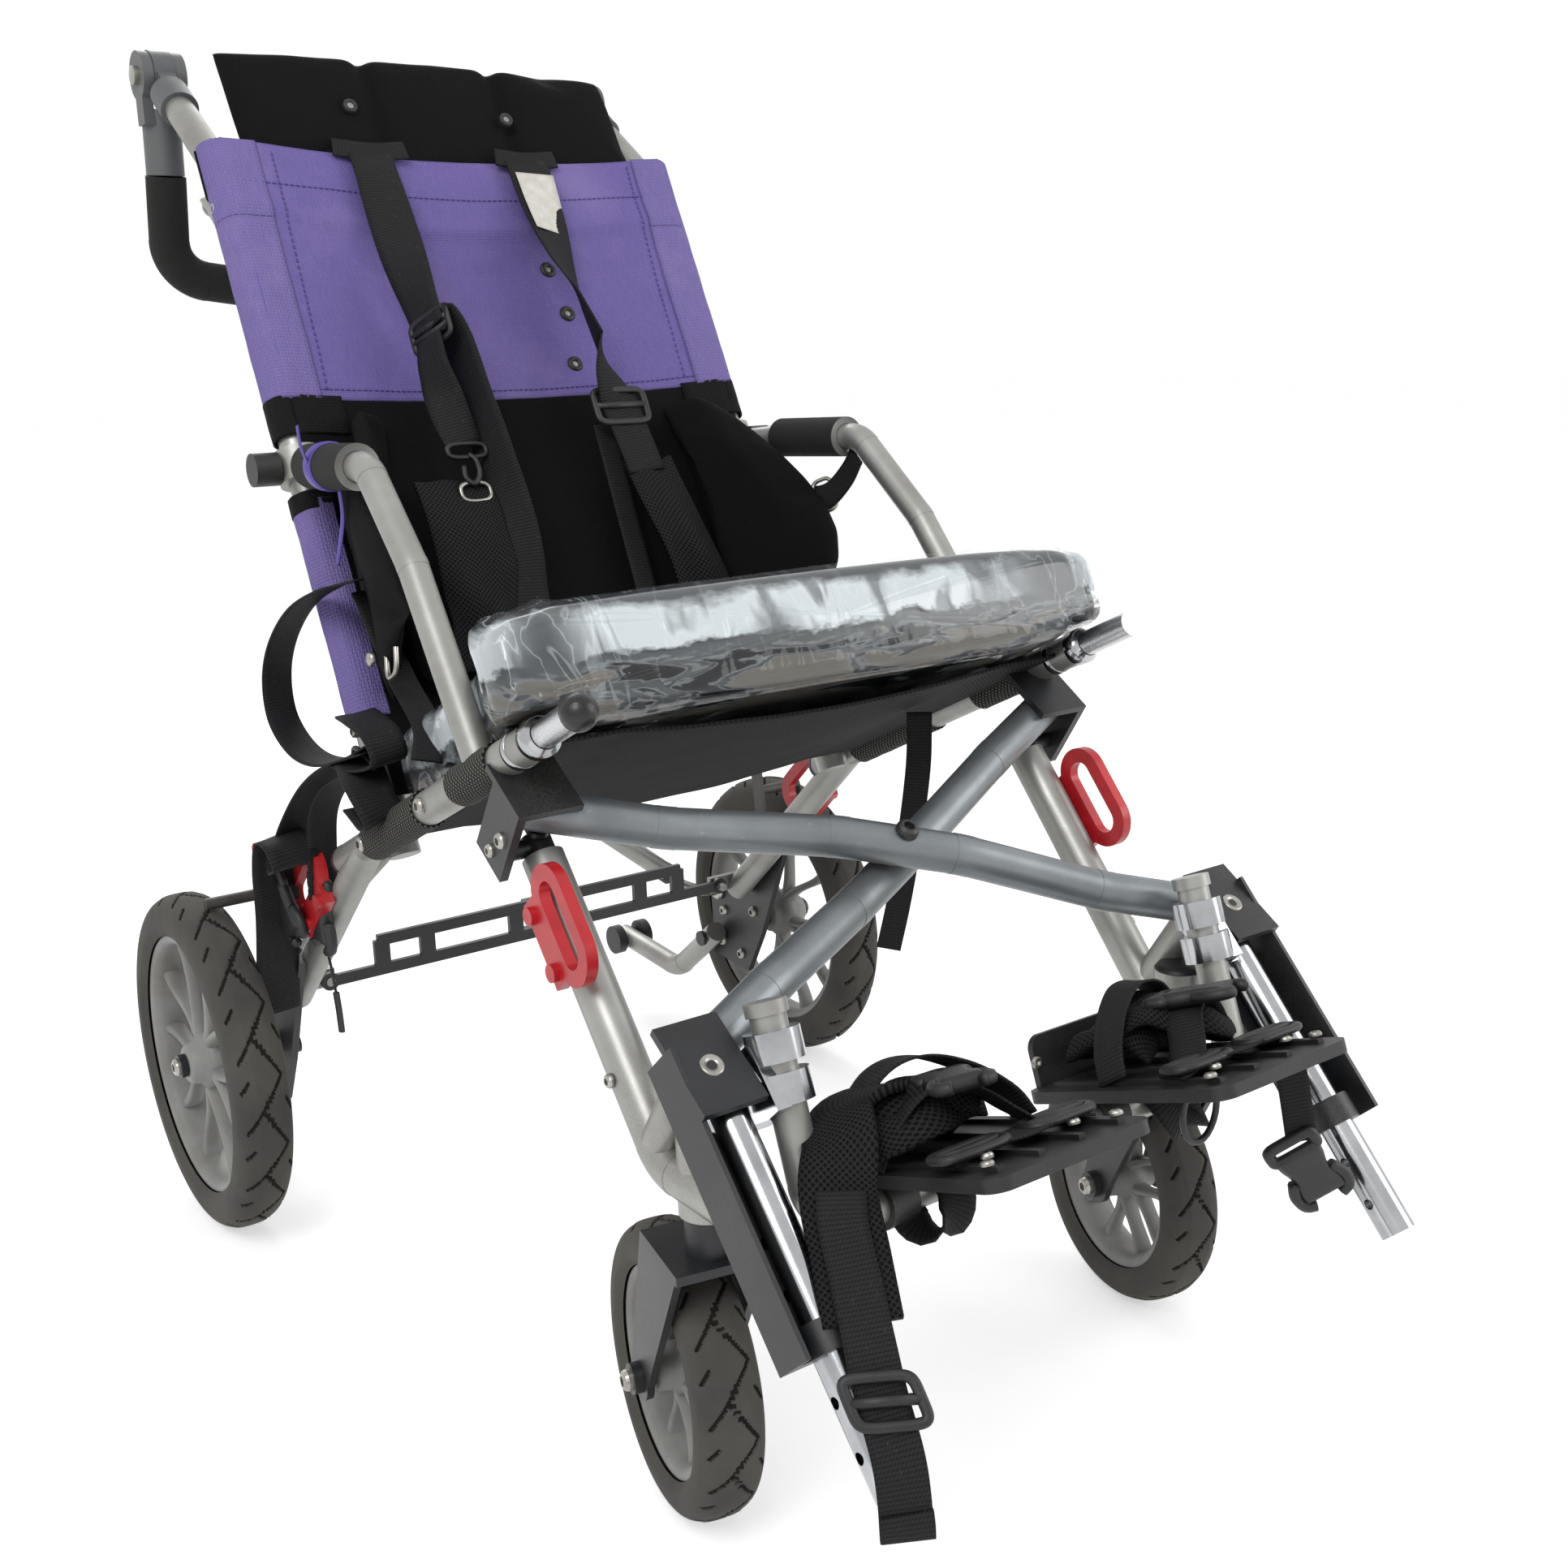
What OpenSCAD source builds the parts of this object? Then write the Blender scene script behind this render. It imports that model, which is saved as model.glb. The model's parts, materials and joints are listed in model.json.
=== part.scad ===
// Folding special needs buggy, drawn standing open on its four wheels.
// +Z is up, -Y is the front, +X is the occupant's left. Lengths are in millimetres.

/* [Wheels] */
// Outer radius of a rear tyre
rear_wheel_r = 146; // [138:1:148]
// Width of a rear tyre
rear_tyre_w = 46; // [38:1:50]
// Height of a rear tyre above its rim
rear_tyre_h = 34; // [26:1:38]
// Distance between the middles of the rear wheels
rear_track = 609; // [606:1:640]
// Distance of the rear axle behind the seat corner
rear_axle_back = 218; // [212:1:226]
// Radius of the wheel axles
axle_r = 6; // [5:0.5:7]
// Outer radius of a caster tyre
caster_r = 95; // [88:1:98]
// Width of a caster tyre
caster_tyre_w = 44; // [34:1:46]
// Height of a caster tyre above its rim
caster_tyre_h = 27; // [20:1:30]
// Distance of a caster's axle behind its stem
caster_trail = 58; // [50:1:62]
// Angle by which the casters stand turned
caster_turn = 12; // [0:1:20]

/* [Seat frame] */
// Half the distance between the seat rails
rail_x = 232; // [230:1:240]
// Radius of a seat rail
rail_r = 12.5; // [11:0.5:13]
// Tilt of the seat rails
seat_tilt = 24.7; // [23:0.1:26]
// Height of the corner where rail and post meet
corner_z = 371; // [366:1:376]
// Length of a rail in front of the corner
rail_front = 322; // [315:1:330]
// Length of a rail behind the corner
rail_back = 52; // [40:1:60]
// Length of the chrome stub in front of a rail
stub_len = 52; // [40:1:60]
// Radius of the chrome stub
stub_r = 9.5; // [8:0.5:10]
// Slope of a rear leg
rear_leg_slope = 42.6; // [41:0.1:44]
// Length of a rear leg
rear_leg_len = 262; // [250:1:270]

/* [Back] */
// Half the distance between the back posts
post_x = 206; // [204:1:206]
// Radius of a back post
post_r = 12.5; // [11:0.5:13]
// Recline of the back
recline = 26.5; // [25:0.1:28]
// Length of the straight part of a post
post_straight = 565; // [550:1:580]
// Length of the rearward part of a post
post_top = 128; // [115:1:135]
// Rise of the rearward part of a post
post_top_rise = 34; // [30:1:40]
// Radius of a handle's grip
grip_r = 17; // [14:0.5:18]
// Length of a push handle below its hinge
handle_drop = 168; // [150:1:180]
// Length of a push handle towards the middle
handle_reach = 104; // [80:1:106]

/* [Folding] */
// Half the distance between the cross tubes' pivots
pivot_x = 216; // [214:1:218]
// Distance of the upper pivots in front of the corner, along a rail
pivot_along = 265; // [262:1:268]
// Distance of the upper pivots under a rail's axis
pivot_drop = 37; // [36:1:40]
// Slope of the plane in which the cross tubes turn
cross_slope = 33.7; // [33:0.1:34.5]
// Distance between an upper and a lower pivot down that slope
cross_reach = 205; // [200:1:210]
// Radius of a cross tube
cross_r = 14; // [12:0.5:14]
// Radius of the pivot pins
pin_r = 4; // [3:0.5:5]
// Radius of a back brace
brace_r = 10; // [8:0.5:10]

/* [Front legs and footrests] */
// Half the distance between the front legs
leg_x = 214; // [212:1:216]
// Radius of a front leg
leg_r = 14; // [12:0.5:14]
// Slope of a front leg
leg_slope = 49.8; // [49:0.1:51]
// Half the distance between the caster stems
stem_x = 206; // [204:1:208]
// Radius of a caster stem
stem_r = 10; // [8:0.5:11]
// Slope of a hanger tube
hanger_slope = 47.5; // [46:0.1:49]
// Length of a hanger tube
hanger_len = 228; // [210:1:240]
// Radius of a hanger tube
hanger_r = 12; // [10:0.5:12]
// Half the distance between the swing axes of the footrest arms
swing_x = 181; // [179:1:182]
// Radius of a footrest arm
arm_r = 11; // [9:0.5:11]
// Toe-up angle of the footplates
toe_up = 20; // [18:1:22]
// Distance of a footplate's inner edge from the middle
plate_in = 28; // [28:1:36]
// Width of a footplate
plate_w = 122; // [100:1:122]
// Depth of a footplate
plate_d = 170; // [150:1:176]

/* [Soft goods] */
// Width of the seat cushion
cushion_w = 408; // [380:1:410]
// Depth of the seat cushion
cushion_d = 290; // [270:1:296]
// Thickness of the seat cushion at its rim
cushion_h = 52; // [44:1:60]
// Crown of the seat cushion
cushion_crown = 10; // [4:1:14]
// Sag of the back sling between the posts
back_sag = 22; // [12:1:26]
// Width of the harness webbing
web_w = 38; // [30:1:40]

/* [Hidden] */
$fn = 48;
right = -1;
left = 1;
cut_over = 2;
bend_in = 3;
bend_swell = 0.25;
run_gap = 0.05;
seat_gap = 0.2;
clear = 0.4;
soft_gap = 0.6;
cloth_t = 3;
metal = "#9a9a96";
cross_grey = "#7c8487";
chrome = "#c9ccce";
rim_grey = "#8a8a86";
black = "#1b1b1d";
rubber = "#2b2a28";
red = "#c8202c";
plastic_grey = "#77787a";
purple = "#7062a8";
vinyl = "#8f979c";

// directions of the tilted parts, in the plane of a side
rail_dir = [0, -cos(seat_tilt), sin(seat_tilt)];
seat_up = [0, sin(seat_tilt), cos(seat_tilt)];
back_dir = [0, sin(recline), cos(recline)];
slope_down = [0, -cos(cross_slope), -sin(cross_slope)];
slope_out = [0, -sin(cross_slope), cos(cross_slope)];
hanger_dir = [0, -cos(hanger_slope), -sin(hanger_slope)];
plate_out = [0, sin(toe_up), cos(toe_up)];
plate_fwd = [0, -cos(toe_up), sin(toe_up)];

// main points of a side, measured from the seat corner
corner = [rail_x, 0, corner_z];
post_foot = [post_x, 0, corner_z];
rear_axle = [rear_track / 2, rear_axle_back, rear_wheel_r];
post_bend = post_foot + post_straight * back_dir;
post_top_dir = [0, cos(post_top_rise), sin(post_top_rise)];
post_end = post_bend + post_top * post_top_dir;
post_bend_r = 70;
elbow_gap = 38;
elbow = post_end + elbow_gap * post_top_dir;
pivot_rail = [pivot_x, 0, corner_z] + pivot_along * rail_dir;
pivot_up = pivot_rail - pivot_drop * seat_up;
pivot_low = pivot_up + cross_reach * slope_down;
cross_mid = [0, 0, 0] + [0, pivot_up[1] + pivot_low[1], pivot_up[2] + pivot_low[2]] / 2;
cross_angle = atan2(cross_reach, 2 * pivot_x);
cross_half = norm([pivot_x, cross_reach / 2]);

// front leg
leg_under = 91;
leg_past = 12;
leg_run = 89;
leg_len = 214;
leg_bend_r = 34;
leg_post_r = 12;
leg_foot = [leg_x, pivot_low[1], pivot_low[2]] - leg_under * slope_out;
leg_dir = [0, cos(leg_slope), sin(leg_slope)];
leg_up = [0, -sin(leg_slope), cos(leg_slope)];
leg_bend = leg_foot + leg_past * slope_down;
leg_top = leg_bend + leg_len * leg_dir;
leg_front = leg_bend - [0, leg_run, 0];

// caster
housing_r = 18;
housing_under = 20;
housing_over = 34;
housing_roof = 6;
stem_ahead = 31;
stem_play = 1;
stem = [stem_x, leg_bend[1] - stem_ahead, 0];
housing_low = leg_bend[2] - housing_under;
housing_top = leg_bend[2] + housing_over;
fork_t = 5;
fork_side = 3;
crown_t = 6;
crown_over = 10;
crown_front = 22;
crown_back = 42;
crown_low = 2 * caster_r + crown_over;
fork_half = caster_tyre_w / 2 + fork_side;
fork_eye = 15;
collar_r = 15;
nut_r = 10;
nut_t = 6;

// wheels
rim_wall = 8;
rear_rim_r = rear_wheel_r - rear_tyre_h;
caster_rim_r = caster_r - caster_tyre_h;
tyre_round = 13;
tyre_waist = 2;
rear_hub_r = 24;
rear_hub_half = 21;
caster_hub_r = 17;
caster_hub_half = 21;
spoke_w = 8;
spoke_gap = 16;
spoke_t = 14;
spoke_pairs = 5;
caster_spoke_w = 7;
caster_spoke_gap = 11;
spoke_root_share = 0.6;
rim_share = 0.72;

// axle plate, measured from the axle
plate_wall = 6;
plate_x = rail_x + rail_r + seat_gap;
plate_scale = rear_wheel_r;
plate_shares = [[-0.62, 0.68], [-0.42, 0.75], [-0.07, 0.42], [0.31, 0.24], [0.28, -0.29],
    [-0.14, -0.32], [-0.32, 0]];
spacer_r = 10;
brake_shares = [-0.315, 0.404];
brake_slope = 102.94;
brake_off = 0.86;
brake_over = 36.3;
brake_w = 14;
brake_t = 4;
brake_gap = 3;
brake_peg = 24;
brake_peg_r = 6;
brake_stub_r = 5;
brake_at = rear_wheel_r * [0, brake_shares[0], brake_shares[1]];
brake_stub = (rear_wheel_r + brake_stub_r + brake_off) * [0, cos(brake_slope), sin(brake_slope)];
brake_top = brake_stub + brake_over * unit(brake_stub - brake_at);

// anti-tip arm, measured from the axle
tip_r = 11;
tip_pin_r = 5;
tip_x = plate_x - tip_r - 2 * clear;
tip_shares = [[0.192, -0.123], [0.664, -0.5], [1.3836, -0.445]];
function tip_at(i) = [tip_x, rear_axle[1], rear_axle[2]] + rear_wheel_r * [0, tip_shares[i][0], tip_shares[i][1]];
tip_root = tip_at(0);
tip_low = tip_at(1);
tip_end = tip_at(2);
tip_bend_r = 40;
roller_r = 16;
roller_w = 10;
roller_pin_r = 4;

// spreader
spread_x = 206;
spread_y = 186;
spread_z = 203;
spread_t = 5;
spread_h = 10;
spread_step = 0.6;
spread_lap = 14;
spread_rise = 27;
spread_short = 46;
spread_rung = 14;
rung_shares = [0.12, 0.55, 0.76];
lug_t = 6;
lug_h = 16;

stub_ball_r = 12;

// back brace
brace_z = 855;
brace_behind = 31;
brace_step = 22;
brace_along = (brace_z - corner_z) / cos(recline);
brace_pin = post_foot + brace_along * back_dir;
brace_bend_at = [-87, 288];
brace_end_at = [-200, 196];
brace_bend_r = 60;
brace_pin_r = 5;
brace_head = 8;
brace_head_t = 4;

// armrest
rest_along = 309;
rest_x = 220;
rest_r = 11;
rest_ring_r = 19;
rest_ring_w = 26;
rest_in = 15.5;
rest_root = post_foot + rest_along * back_dir;
rest_start = rest_root - [0, rest_in, 0] / cos(recline);
rest_side_run = 52;
rest_side_up = 4;
rest_front_out = 2;
rest_front_run = 172;
rest_front_up = 8;
rest_knee_out = 6;
rest_knee_run = 246;
rest_knee_down = 56;
rest_side = [rest_x, rest_root[1] - rest_side_run, rest_root[2] + rest_side_up];
rest_front = [rest_x + rest_front_out, rest_root[1] - rest_front_run, rest_root[2] + rest_front_up];
rest_knee = [rest_x + rest_knee_out, rest_root[1] - rest_knee_run, rest_root[2] - rest_knee_down];
rest_foot_along = 228;
rest_foot = corner + rest_foot_along * rail_dir;
rest_bend_r = 30;
foam_r = 17;
foam_back = 10;
foam_len = 102;
knob_r = 13;
knob_w = 20;
knob_stem = 4;

// bracket that holds the upper pivot under the rail
brk_in = 200;
brk_out = 246;
brk_wall = 240;
brk_t = 5;
brk_down = 18;
brk_up = 30;
brk_drop = 40;
brk_seat_r = 10;
brk_seat_len = 15;
brk_arm_r = 6;
head_r = 8;
head_t = 4;

// hanger, swing axis and footplate
hanger_out = [0, -sin(hanger_slope), cos(hanger_slope)];
hanger_below = 27.7;
hanger_ahead = 6.4;
hanger_top = pivot_low + hanger_below * hanger_dir + hanger_ahead * hanger_out;
hanger_end = hanger_top + hanger_len * hanger_dir;
angle_wall = 3;
angle_in = 16;
angle_out = 27;
angle_back = 16;
angle_front = 18;
angle_start = 14;
angle_end = 150;
angle_rise = 32;
guide_len = 18;
guide_r = 17;
lug_up = 16;
lug_down = 46;
hole_r = 3.5;
hole_first = 84;
hole_pitch = 30;
hole_count = 5;
swing_up = 4;
swing_fwd = 16;
swing_mid = [swing_x, hanger_top[1], hanger_top[2]] - swing_up * hanger_dir
    + swing_fwd * hanger_out;
swing_ring_r = 17;
swing_ring_h = 18;
swing_ring_gap = 3;
tab_w = 14;
tab_d = 16;
tab_h = 22;
tab_x = 194;
tab_in = 6;
tab_link = 10;
tab_rise = 20;
arm_over = 30;
arm_cap = 8;
arm_cap_r = 13;
arm_down = 95;
arm_bend_r = 26;
arm_foot = swing_mid - arm_down * plate_out;
arm_under = 22.4;
plate_behind = 40;
plate_t = 8;
plate_round = 12;
heel_t = 5;
heel_h = 34;
heel_round = 10;
rib_h = 3;
rib_w = 5;
rib_count = 4;
knuckle_r = 15.5;
knuckle_w = 20;
knuckle_inset = 14;
plate_heel = [0, arm_foot[1], arm_foot[2]] + arm_under * plate_out - plate_behind * plate_fwd;

// tie-down loops
loop_t = 8;
loop_len = 40;
loop_hole_r = 10;
loop_r = 21;
loop_off = 27;
loop_foot = 60;
loop_bolt_r = 6;
loop_bolt_t = 4;
front_loop_down = 58;
rear_loop_down = 100;

// handles
disc_r = 21;
disc_half = 9;
neck_r = 16;
neck_start = 30;
neck_in = 20;
web_half = 13;
web_in = 7.5;
ear_r = 20;
ear_t = 9;
ear_link = 9;
ear_drop = 40;
handle_pin_r = 6;
socket_r = 16;
socket_back = 4;
socket_drop = 26;
socket_low_back = 9;
socket_low_drop = 80;
grip_gap = 0.3;
grip_back = 24;
grip_rise = 4;
grip_end_back = 6;
grip_end_drop = 12;
socket_top = [post_x, elbow[1] + socket_back, elbow[2] - socket_drop];
socket_low = [post_x, elbow[1] + socket_low_back, elbow[2] - socket_low_drop];
grip_mid = [post_x, elbow[1] + grip_back, elbow[2] - handle_drop + grip_rise];
grip_end = [post_x - handle_reach, elbow[1] + grip_end_back, elbow[2] - handle_drop - grip_end_drop];
grip_bend_r = 34;
button_r = 8;
button_floor = 3;
button_travel = 3;
button_over = 4;
pin_slack = 0.05;

// soft goods
sling_up = 4;
sling_back = 25;
sling_front = 300;
seat_sag = 10;
sling_steps = 16;
cushion_up = 3.8;
cushion_back = 40;
back_low = 30;
back_top = 572;
wrap_low = 330;
wrap_top = 515;
sleeve_low = 140;
sleeve_top = 282;
wrap_t = 3;
head_low = 572.4;
head_h = 106;
head_w = 360;
head_t_pad = 20;
head_sections = 3;
pad_x = 178;
pad_t = 20;
pad_d = 140;
pad_h = 180;
pad_up = 84;
sheet_off = post_r + clear + bend_swell + cloth_t;
notch_low = 28;
pad_behind = sheet_off - back_sag * (1 - pow(pad_x / post_x, 2)) + soft_gap;
strap_x = 85;
strap_top = 564;
strap_low = 345;
strap_t = 2;
vest_w = 70;
vest_t = 9;
vest_low = 130;
pillow_count = 44;
pillow_power_share = 5;
pillow_draw_share = 0.025;
pad_draw_share = 0.003;
pillow_shares = [[0.03, 0, 0], [0.5, 0, 0], [0.85, 0, 0], [0.95, 0.07, 0], [0.985, 0.24, 0],
    [1, 0.42, 0], [0.985, 0.5, 0], [1, 0.58, 0], [0.985, 0.76, 0], [0.95, 0.93, 0],
    [0.87, 1, 0.18], [0.65, 1, 0.6], [0.35, 1, 0.9], [0.03, 1, 1]];

// the part stands with its middle over the origin
front_edge = hanger_end[1] - hanger_r * sin(hanger_slope);
back_edge = tip_end[1] + roller_r;
mid_y = (front_edge + back_edge) / 2;

function unit(v) = v / norm(v);
function turn_at(p, i) = acos(unit(p[i] - p[i - 1]) * unit(p[i + 1] - p[i]));
function cut_at(p, i, bend) = (i <= 0 || i >= len(p) - 1) ? 0 : bend * tan(turn_at(p, i) / 2);

module at_side(side) translate([0, -mid_y, 0]) mirror([side < 0 ? 1 : 0, 0, 0]) children();
module at_middle() translate([0, -mid_y, 0]) children();
module along(a, b) {
    d = b - a;
    translate(a) rotate([0, acos(d[2] / norm(d)), atan2(d[1], d[0])]) children();
}
module rod(a, b, r) along(a, b) cylinder(h = norm(b - a), r = r);
module bar_x(p, x1, x2, r) translate([x1, p[1], p[2]]) rotate([0, 90, 0]) cylinder(h = x2 - x1, r = r);
module bar_y(p, y1, y2, r) translate([p[0], y1, p[2]]) rotate([-90, 0, 0]) cylinder(h = y2 - y1, r = r);
module on_slope(p) translate(p) rotate([cross_slope, 0, 0]) children();
module on_hanger() translate(hanger_top) rotate([90 + hanger_slope, 0, 0]) children();
module on_plate(p) translate(p) rotate([-toe_up, 0, 0]) children();
module on_back() translate([0, post_foot[1], post_foot[2]]) rotate([-recline, 0, 0]) children();
module on_seat() translate([0, corner[1], corner[2]]) rotate([-seat_tilt, 0, 0]) children();
module side_plate(x1, t) translate([x1, 0, 0]) rotate([90, 0, 90]) linear_extrude(height = t) children();
module elbow_arc(a, p, b, r, bend, turn, cut) {
    d1 = unit(p - a);
    d2 = unit(b - p);
    z = unit(cross(d1, d2));
    inward = cross(z, d1);
    c = p - d1 * cut + inward * bend;
    multmatrix([[-inward[0], d1[0], z[0], c[0]], [-inward[1], d1[1], z[1], c[1]],
        [-inward[2], d1[2], z[2], c[2]], [0, 0, 0, 1]])
        rotate_extrude(angle = turn) translate([bend, 0]) circle(r = r + bend_swell);
}
module bent_tube(p, r, bend) {
    for (i = [0 : len(p) - 2]) {
        d = unit(p[i + 1] - p[i]);
        rod(p[i] + d * (cut_at(p, i, bend) - (i > 0 ? bend_in : 0)),
            p[i + 1] - d * (cut_at(p, i + 1, bend) - (i < len(p) - 2 ? bend_in : 0)), r);
    }
    for (i = [1 : len(p) - 2])
        elbow_arc(p[i - 1], p[i], p[i + 1], r, bend, turn_at(p, i), cut_at(p, i, bend));
}
module round_plate(w, d, r) {
    translate([r, 0]) square([w - 2 * r, d]);
    translate([0, r]) square([w, d - 2 * r]);
    for (x = [r, w - r], y = [r, d - r]) translate([x, y]) circle(r = r);
}
module stadium(l, r) {
    translate([-l / 2, -r]) square([l, 2 * r]);
    for (s = [-1, 1]) translate([s * l / 2, 0]) circle(r = r);
}
function pillow_at(k, i, w, d, h, crown, draw) = let (a = 360 * (i + 0.5) / pillow_count,
    e = 2 / pillow_power_share, f = 1 - draw * pow(cos(2 * a), 2), s = pillow_shares[k])
    [sign(cos(a)) * pow(abs(cos(a)), e) * f * s[0] * w / 2,
     sign(sin(a)) * pow(abs(sin(a)), e) * f * s[0] * d / 2, s[1] * h + s[2] * crown];
module pillow(w, d, h, crown, draw) {
    n = pillow_count;
    m = len(pillow_shares);
    pts = [for (k = [0 : m - 1], i = [0 : n - 1]) pillow_at(k, i, w, d, h, crown, draw)];
    sides = [for (k = [0 : m - 2], i = [0 : n - 1])
        [k * n + i, (k + 1) * n + i, (k + 1) * n + (i + 1) % n, k * n + (i + 1) % n]];
    polyhedron(points = pts, faces = concat([[for (i = [0 : n - 1]) i]], sides,
        [[for (i = [0 : n - 1]) m * n - 1 - i]]), convexity = 4);
}

module tie_loop(x1) {
    side_plate(x1, loop_t) difference() {
        union() {
            translate([0, loop_off]) stadium(loop_len, loop_r);
            translate([-loop_foot / 2, -leg_r / 2]) square([loop_foot, loop_off]);
        }
        translate([0, loop_off]) stadium(loop_len, loop_hole_r);
    }
    for (s = [-1, 1]) bar_x([0, s * loop_len / 2, 0], x1 + loop_t - clear, x1 + loop_t + loop_bolt_t,
        loop_bolt_r);
}

module side_frame(side) color(metal) at_side(side) {
    rod(corner - rail_back * rail_dir, corner + rail_front * rail_dir, rail_r);
    rod(corner + (rail_front - rail_r) * rail_dir, corner + (rail_front + stub_len) * rail_dir, stub_r);
    if (side < 0) translate(corner + (rail_front + stub_len) * rail_dir) sphere(r = stub_ball_r);
    rod(corner, corner + rear_leg_len * [0, cos(rear_leg_slope), -sin(rear_leg_slope)], rail_r);
    translate([spread_x - lug_h / 2, spread_y + spread_t + spread_step, spread_z - lug_h / 2])
        cube([rail_x - spread_x + lug_h / 2, lug_t, lug_h]);
    bar_y([spread_x, 0, spread_z], spread_y - spread_t - 2 * spread_step,
        spread_y + spread_t + 2 * spread_step, pin_r);
}
module back_post(side) color(metal) at_side(side) {
    bent_tube([post_foot - rail_r * back_dir, post_bend, post_end], post_r, post_bend_r);
    bar_x(post_foot, post_x, rail_x - rail_r - seat_gap, brk_seat_r);
    bar_y(brace_pin, brace_pin[1], brace_y(side) + brace_r + clear + brace_head_t, brace_pin_r);
    bar_y(brace_pin, brace_y(side) + brace_r + clear, brace_y(side) + brace_r + clear + brace_head_t,
        brace_head);
}
module armrest(side) color(metal) at_side(side) {
    difference() {
        union() {
            bent_tube([rest_start, rest_side, rest_front, rest_knee, rest_foot], rest_r, rest_bend_r);
            rod(rest_root - rest_ring_w / 2 * back_dir, rest_root + rest_ring_w / 2 * back_dir, rest_ring_r);
        }
        rod(rest_root - rest_ring_w * back_dir, rest_root + rest_ring_w * back_dir, post_r + seat_gap);
        rod(corner, corner + rail_front * rail_dir, rail_r + seat_gap);
        bar_x(rest_root, post_x, post_x + rest_ring_r + cut_over, knob_stem + run_gap);
    }
    d = unit(rest_front - rest_side);
    color(black) difference() {
        rod(rest_side + foam_back * d, rest_side + foam_len * d, foam_r);
        rod(rest_side, rest_front, rest_r + clear);
    }
}
module arm_knob(side) color(black) at_side(side) {
    bar_x(rest_root, post_x + post_r + 2 * clear, post_x + rest_ring_r + knob_stem, knob_stem);
    bar_x(rest_root, post_x + rest_ring_r + clear, post_x + rest_ring_r + clear + knob_w, knob_r);
}
module rail_bracket(side) color(black) at_side(side) {
    difference() {
        union() {
            on_slope(pivot_up) {
                translate([brk_in - pivot_x, -brk_down, cross_r + clear])
                    cube([brk_out - brk_in, brk_down + brk_up, brk_t]);
                translate([brk_wall - pivot_x, -brk_down, -brk_drop])
                    cube([brk_out - brk_wall, 2 * brk_down, brk_drop + cross_r + clear + brk_t]);
            }
        }
        rod(corner, corner + rail_front * rail_dir, rail_r + seat_gap);
    }
    on_slope(pivot_up) {
        translate([0, 0, -cross_r - clear]) cylinder(h = 2 * cross_r + 2 * clear + brk_t, r = pin_r);
        translate([0, 0, -cross_r - clear - head_t]) cylinder(h = head_t, r = head_r);
    }
    rod(leg_top + clear * leg_dir, leg_top + brk_seat_len * leg_dir, brk_seat_r);
    bar_x(leg_top + brk_seat_len / 2 * leg_dir, leg_x, brk_wall + brk_t, brk_arm_r);
}
module axle_plate(side) color(black) at_side(side) {
    translate([0, rear_axle[1], rear_axle[2]]) {
        side_plate(plate_x, plate_wall) polygon(plate_scale * plate_shares);
        bar_x([0, 0, 0], plate_x, rear_axle[0] - rear_hub_half - clear, spacer_r);
        bar_x([0, 0, 0], plate_x, rear_axle[0] + rear_hub_half + clear + nut_t, axle_r);
        bar_x([0, 0, 0], rear_axle[0] + rear_hub_half + clear, rear_axle[0] + rear_hub_half + clear + nut_t,
            nut_r);
        bar_x(brake_at, plate_x, plate_x + plate_wall + brake_gap + brake_t + clear + head_t, pin_r);
        bar_x(brake_at, plate_x + plate_wall + brake_gap + brake_t + clear,
            plate_x + plate_wall + brake_gap + brake_t + clear + head_t, head_r);
    }
    bar_x(tip_root, tip_x - tip_r - clear, plate_x + plate_wall, tip_pin_r);
    bar_x(tip_root, tip_x - tip_r - clear - head_t, tip_x - tip_r - clear, head_r);
}
module rear_tie_loop(side) color(red) at_side(side)
    translate(corner - [rail_x, 0, 0] + rear_loop_down * [0, cos(rear_leg_slope), -sin(rear_leg_slope)])
        rotate([-rear_leg_slope, 0, 0]) tie_loop(rail_x + rail_r + seat_gap);
module front_tie_loop(side) color(red) at_side(side)
    translate(leg_top - [leg_x, 0, 0] - front_loop_down * leg_dir)
        rotate([leg_slope, 0, 0]) tie_loop(leg_x + leg_r + seat_gap);
module handle_elbow(side) color(plastic_grey) at_side(side) difference() {
    union() {
        bar_x(elbow, post_x - disc_half, post_x + disc_half, disc_r);
        rod(elbow - (elbow_gap + neck_in) * post_top_dir, elbow - neck_start * post_top_dir, neck_r);
        translate(elbow) rotate([post_top_rise, 0, 0])
            translate([-web_in, -neck_start - cut_over, -web_half])
                cube([2 * web_in, neck_start + cut_over, 2 * web_half]);
    }
    rod(elbow - (elbow_gap + 2 * neck_in) * post_top_dir, elbow - (elbow_gap - seat_gap) * post_top_dir,
        post_r + seat_gap);
    bar_x(elbow, post_x - 2 * disc_half, post_x + 2 * disc_half, handle_pin_r);
}
module push_handle(side) color(black) at_side(side) {
    difference() {
        union() {
            for (s = [-1, 1]) translate([post_x + s * (disc_half + clear + ear_t / 2), elbow[1], elbow[2]]) {
                bar_x([0, 0, 0], -ear_t / 2, ear_t / 2, ear_r);
                translate([-ear_t / 2, -ear_link, -ear_drop]) cube([ear_t, 2 * ear_link, ear_drop]);
            }
            rod(socket_top, socket_low, socket_r);
            bar_x(elbow, post_x - disc_half - ear_t, post_x + disc_half + ear_t / 4, handle_pin_r - pin_slack);
        }
        bar_x(elbow, post_x + disc_half + clear + button_floor, post_x + 2 * disc_half + ear_t,
            button_r + run_gap);
    }
    d = unit(grip_mid - socket_low);
    bent_tube([socket_low + grip_gap * d, grip_mid, grip_end], grip_r, grip_bend_r);
}
module handle_button(side) color(chrome) at_side(side)
    bar_x(elbow, post_x + disc_half + clear + button_floor + button_travel + seat_gap,
        post_x + disc_half + clear + ear_t + button_over, button_r);
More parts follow.
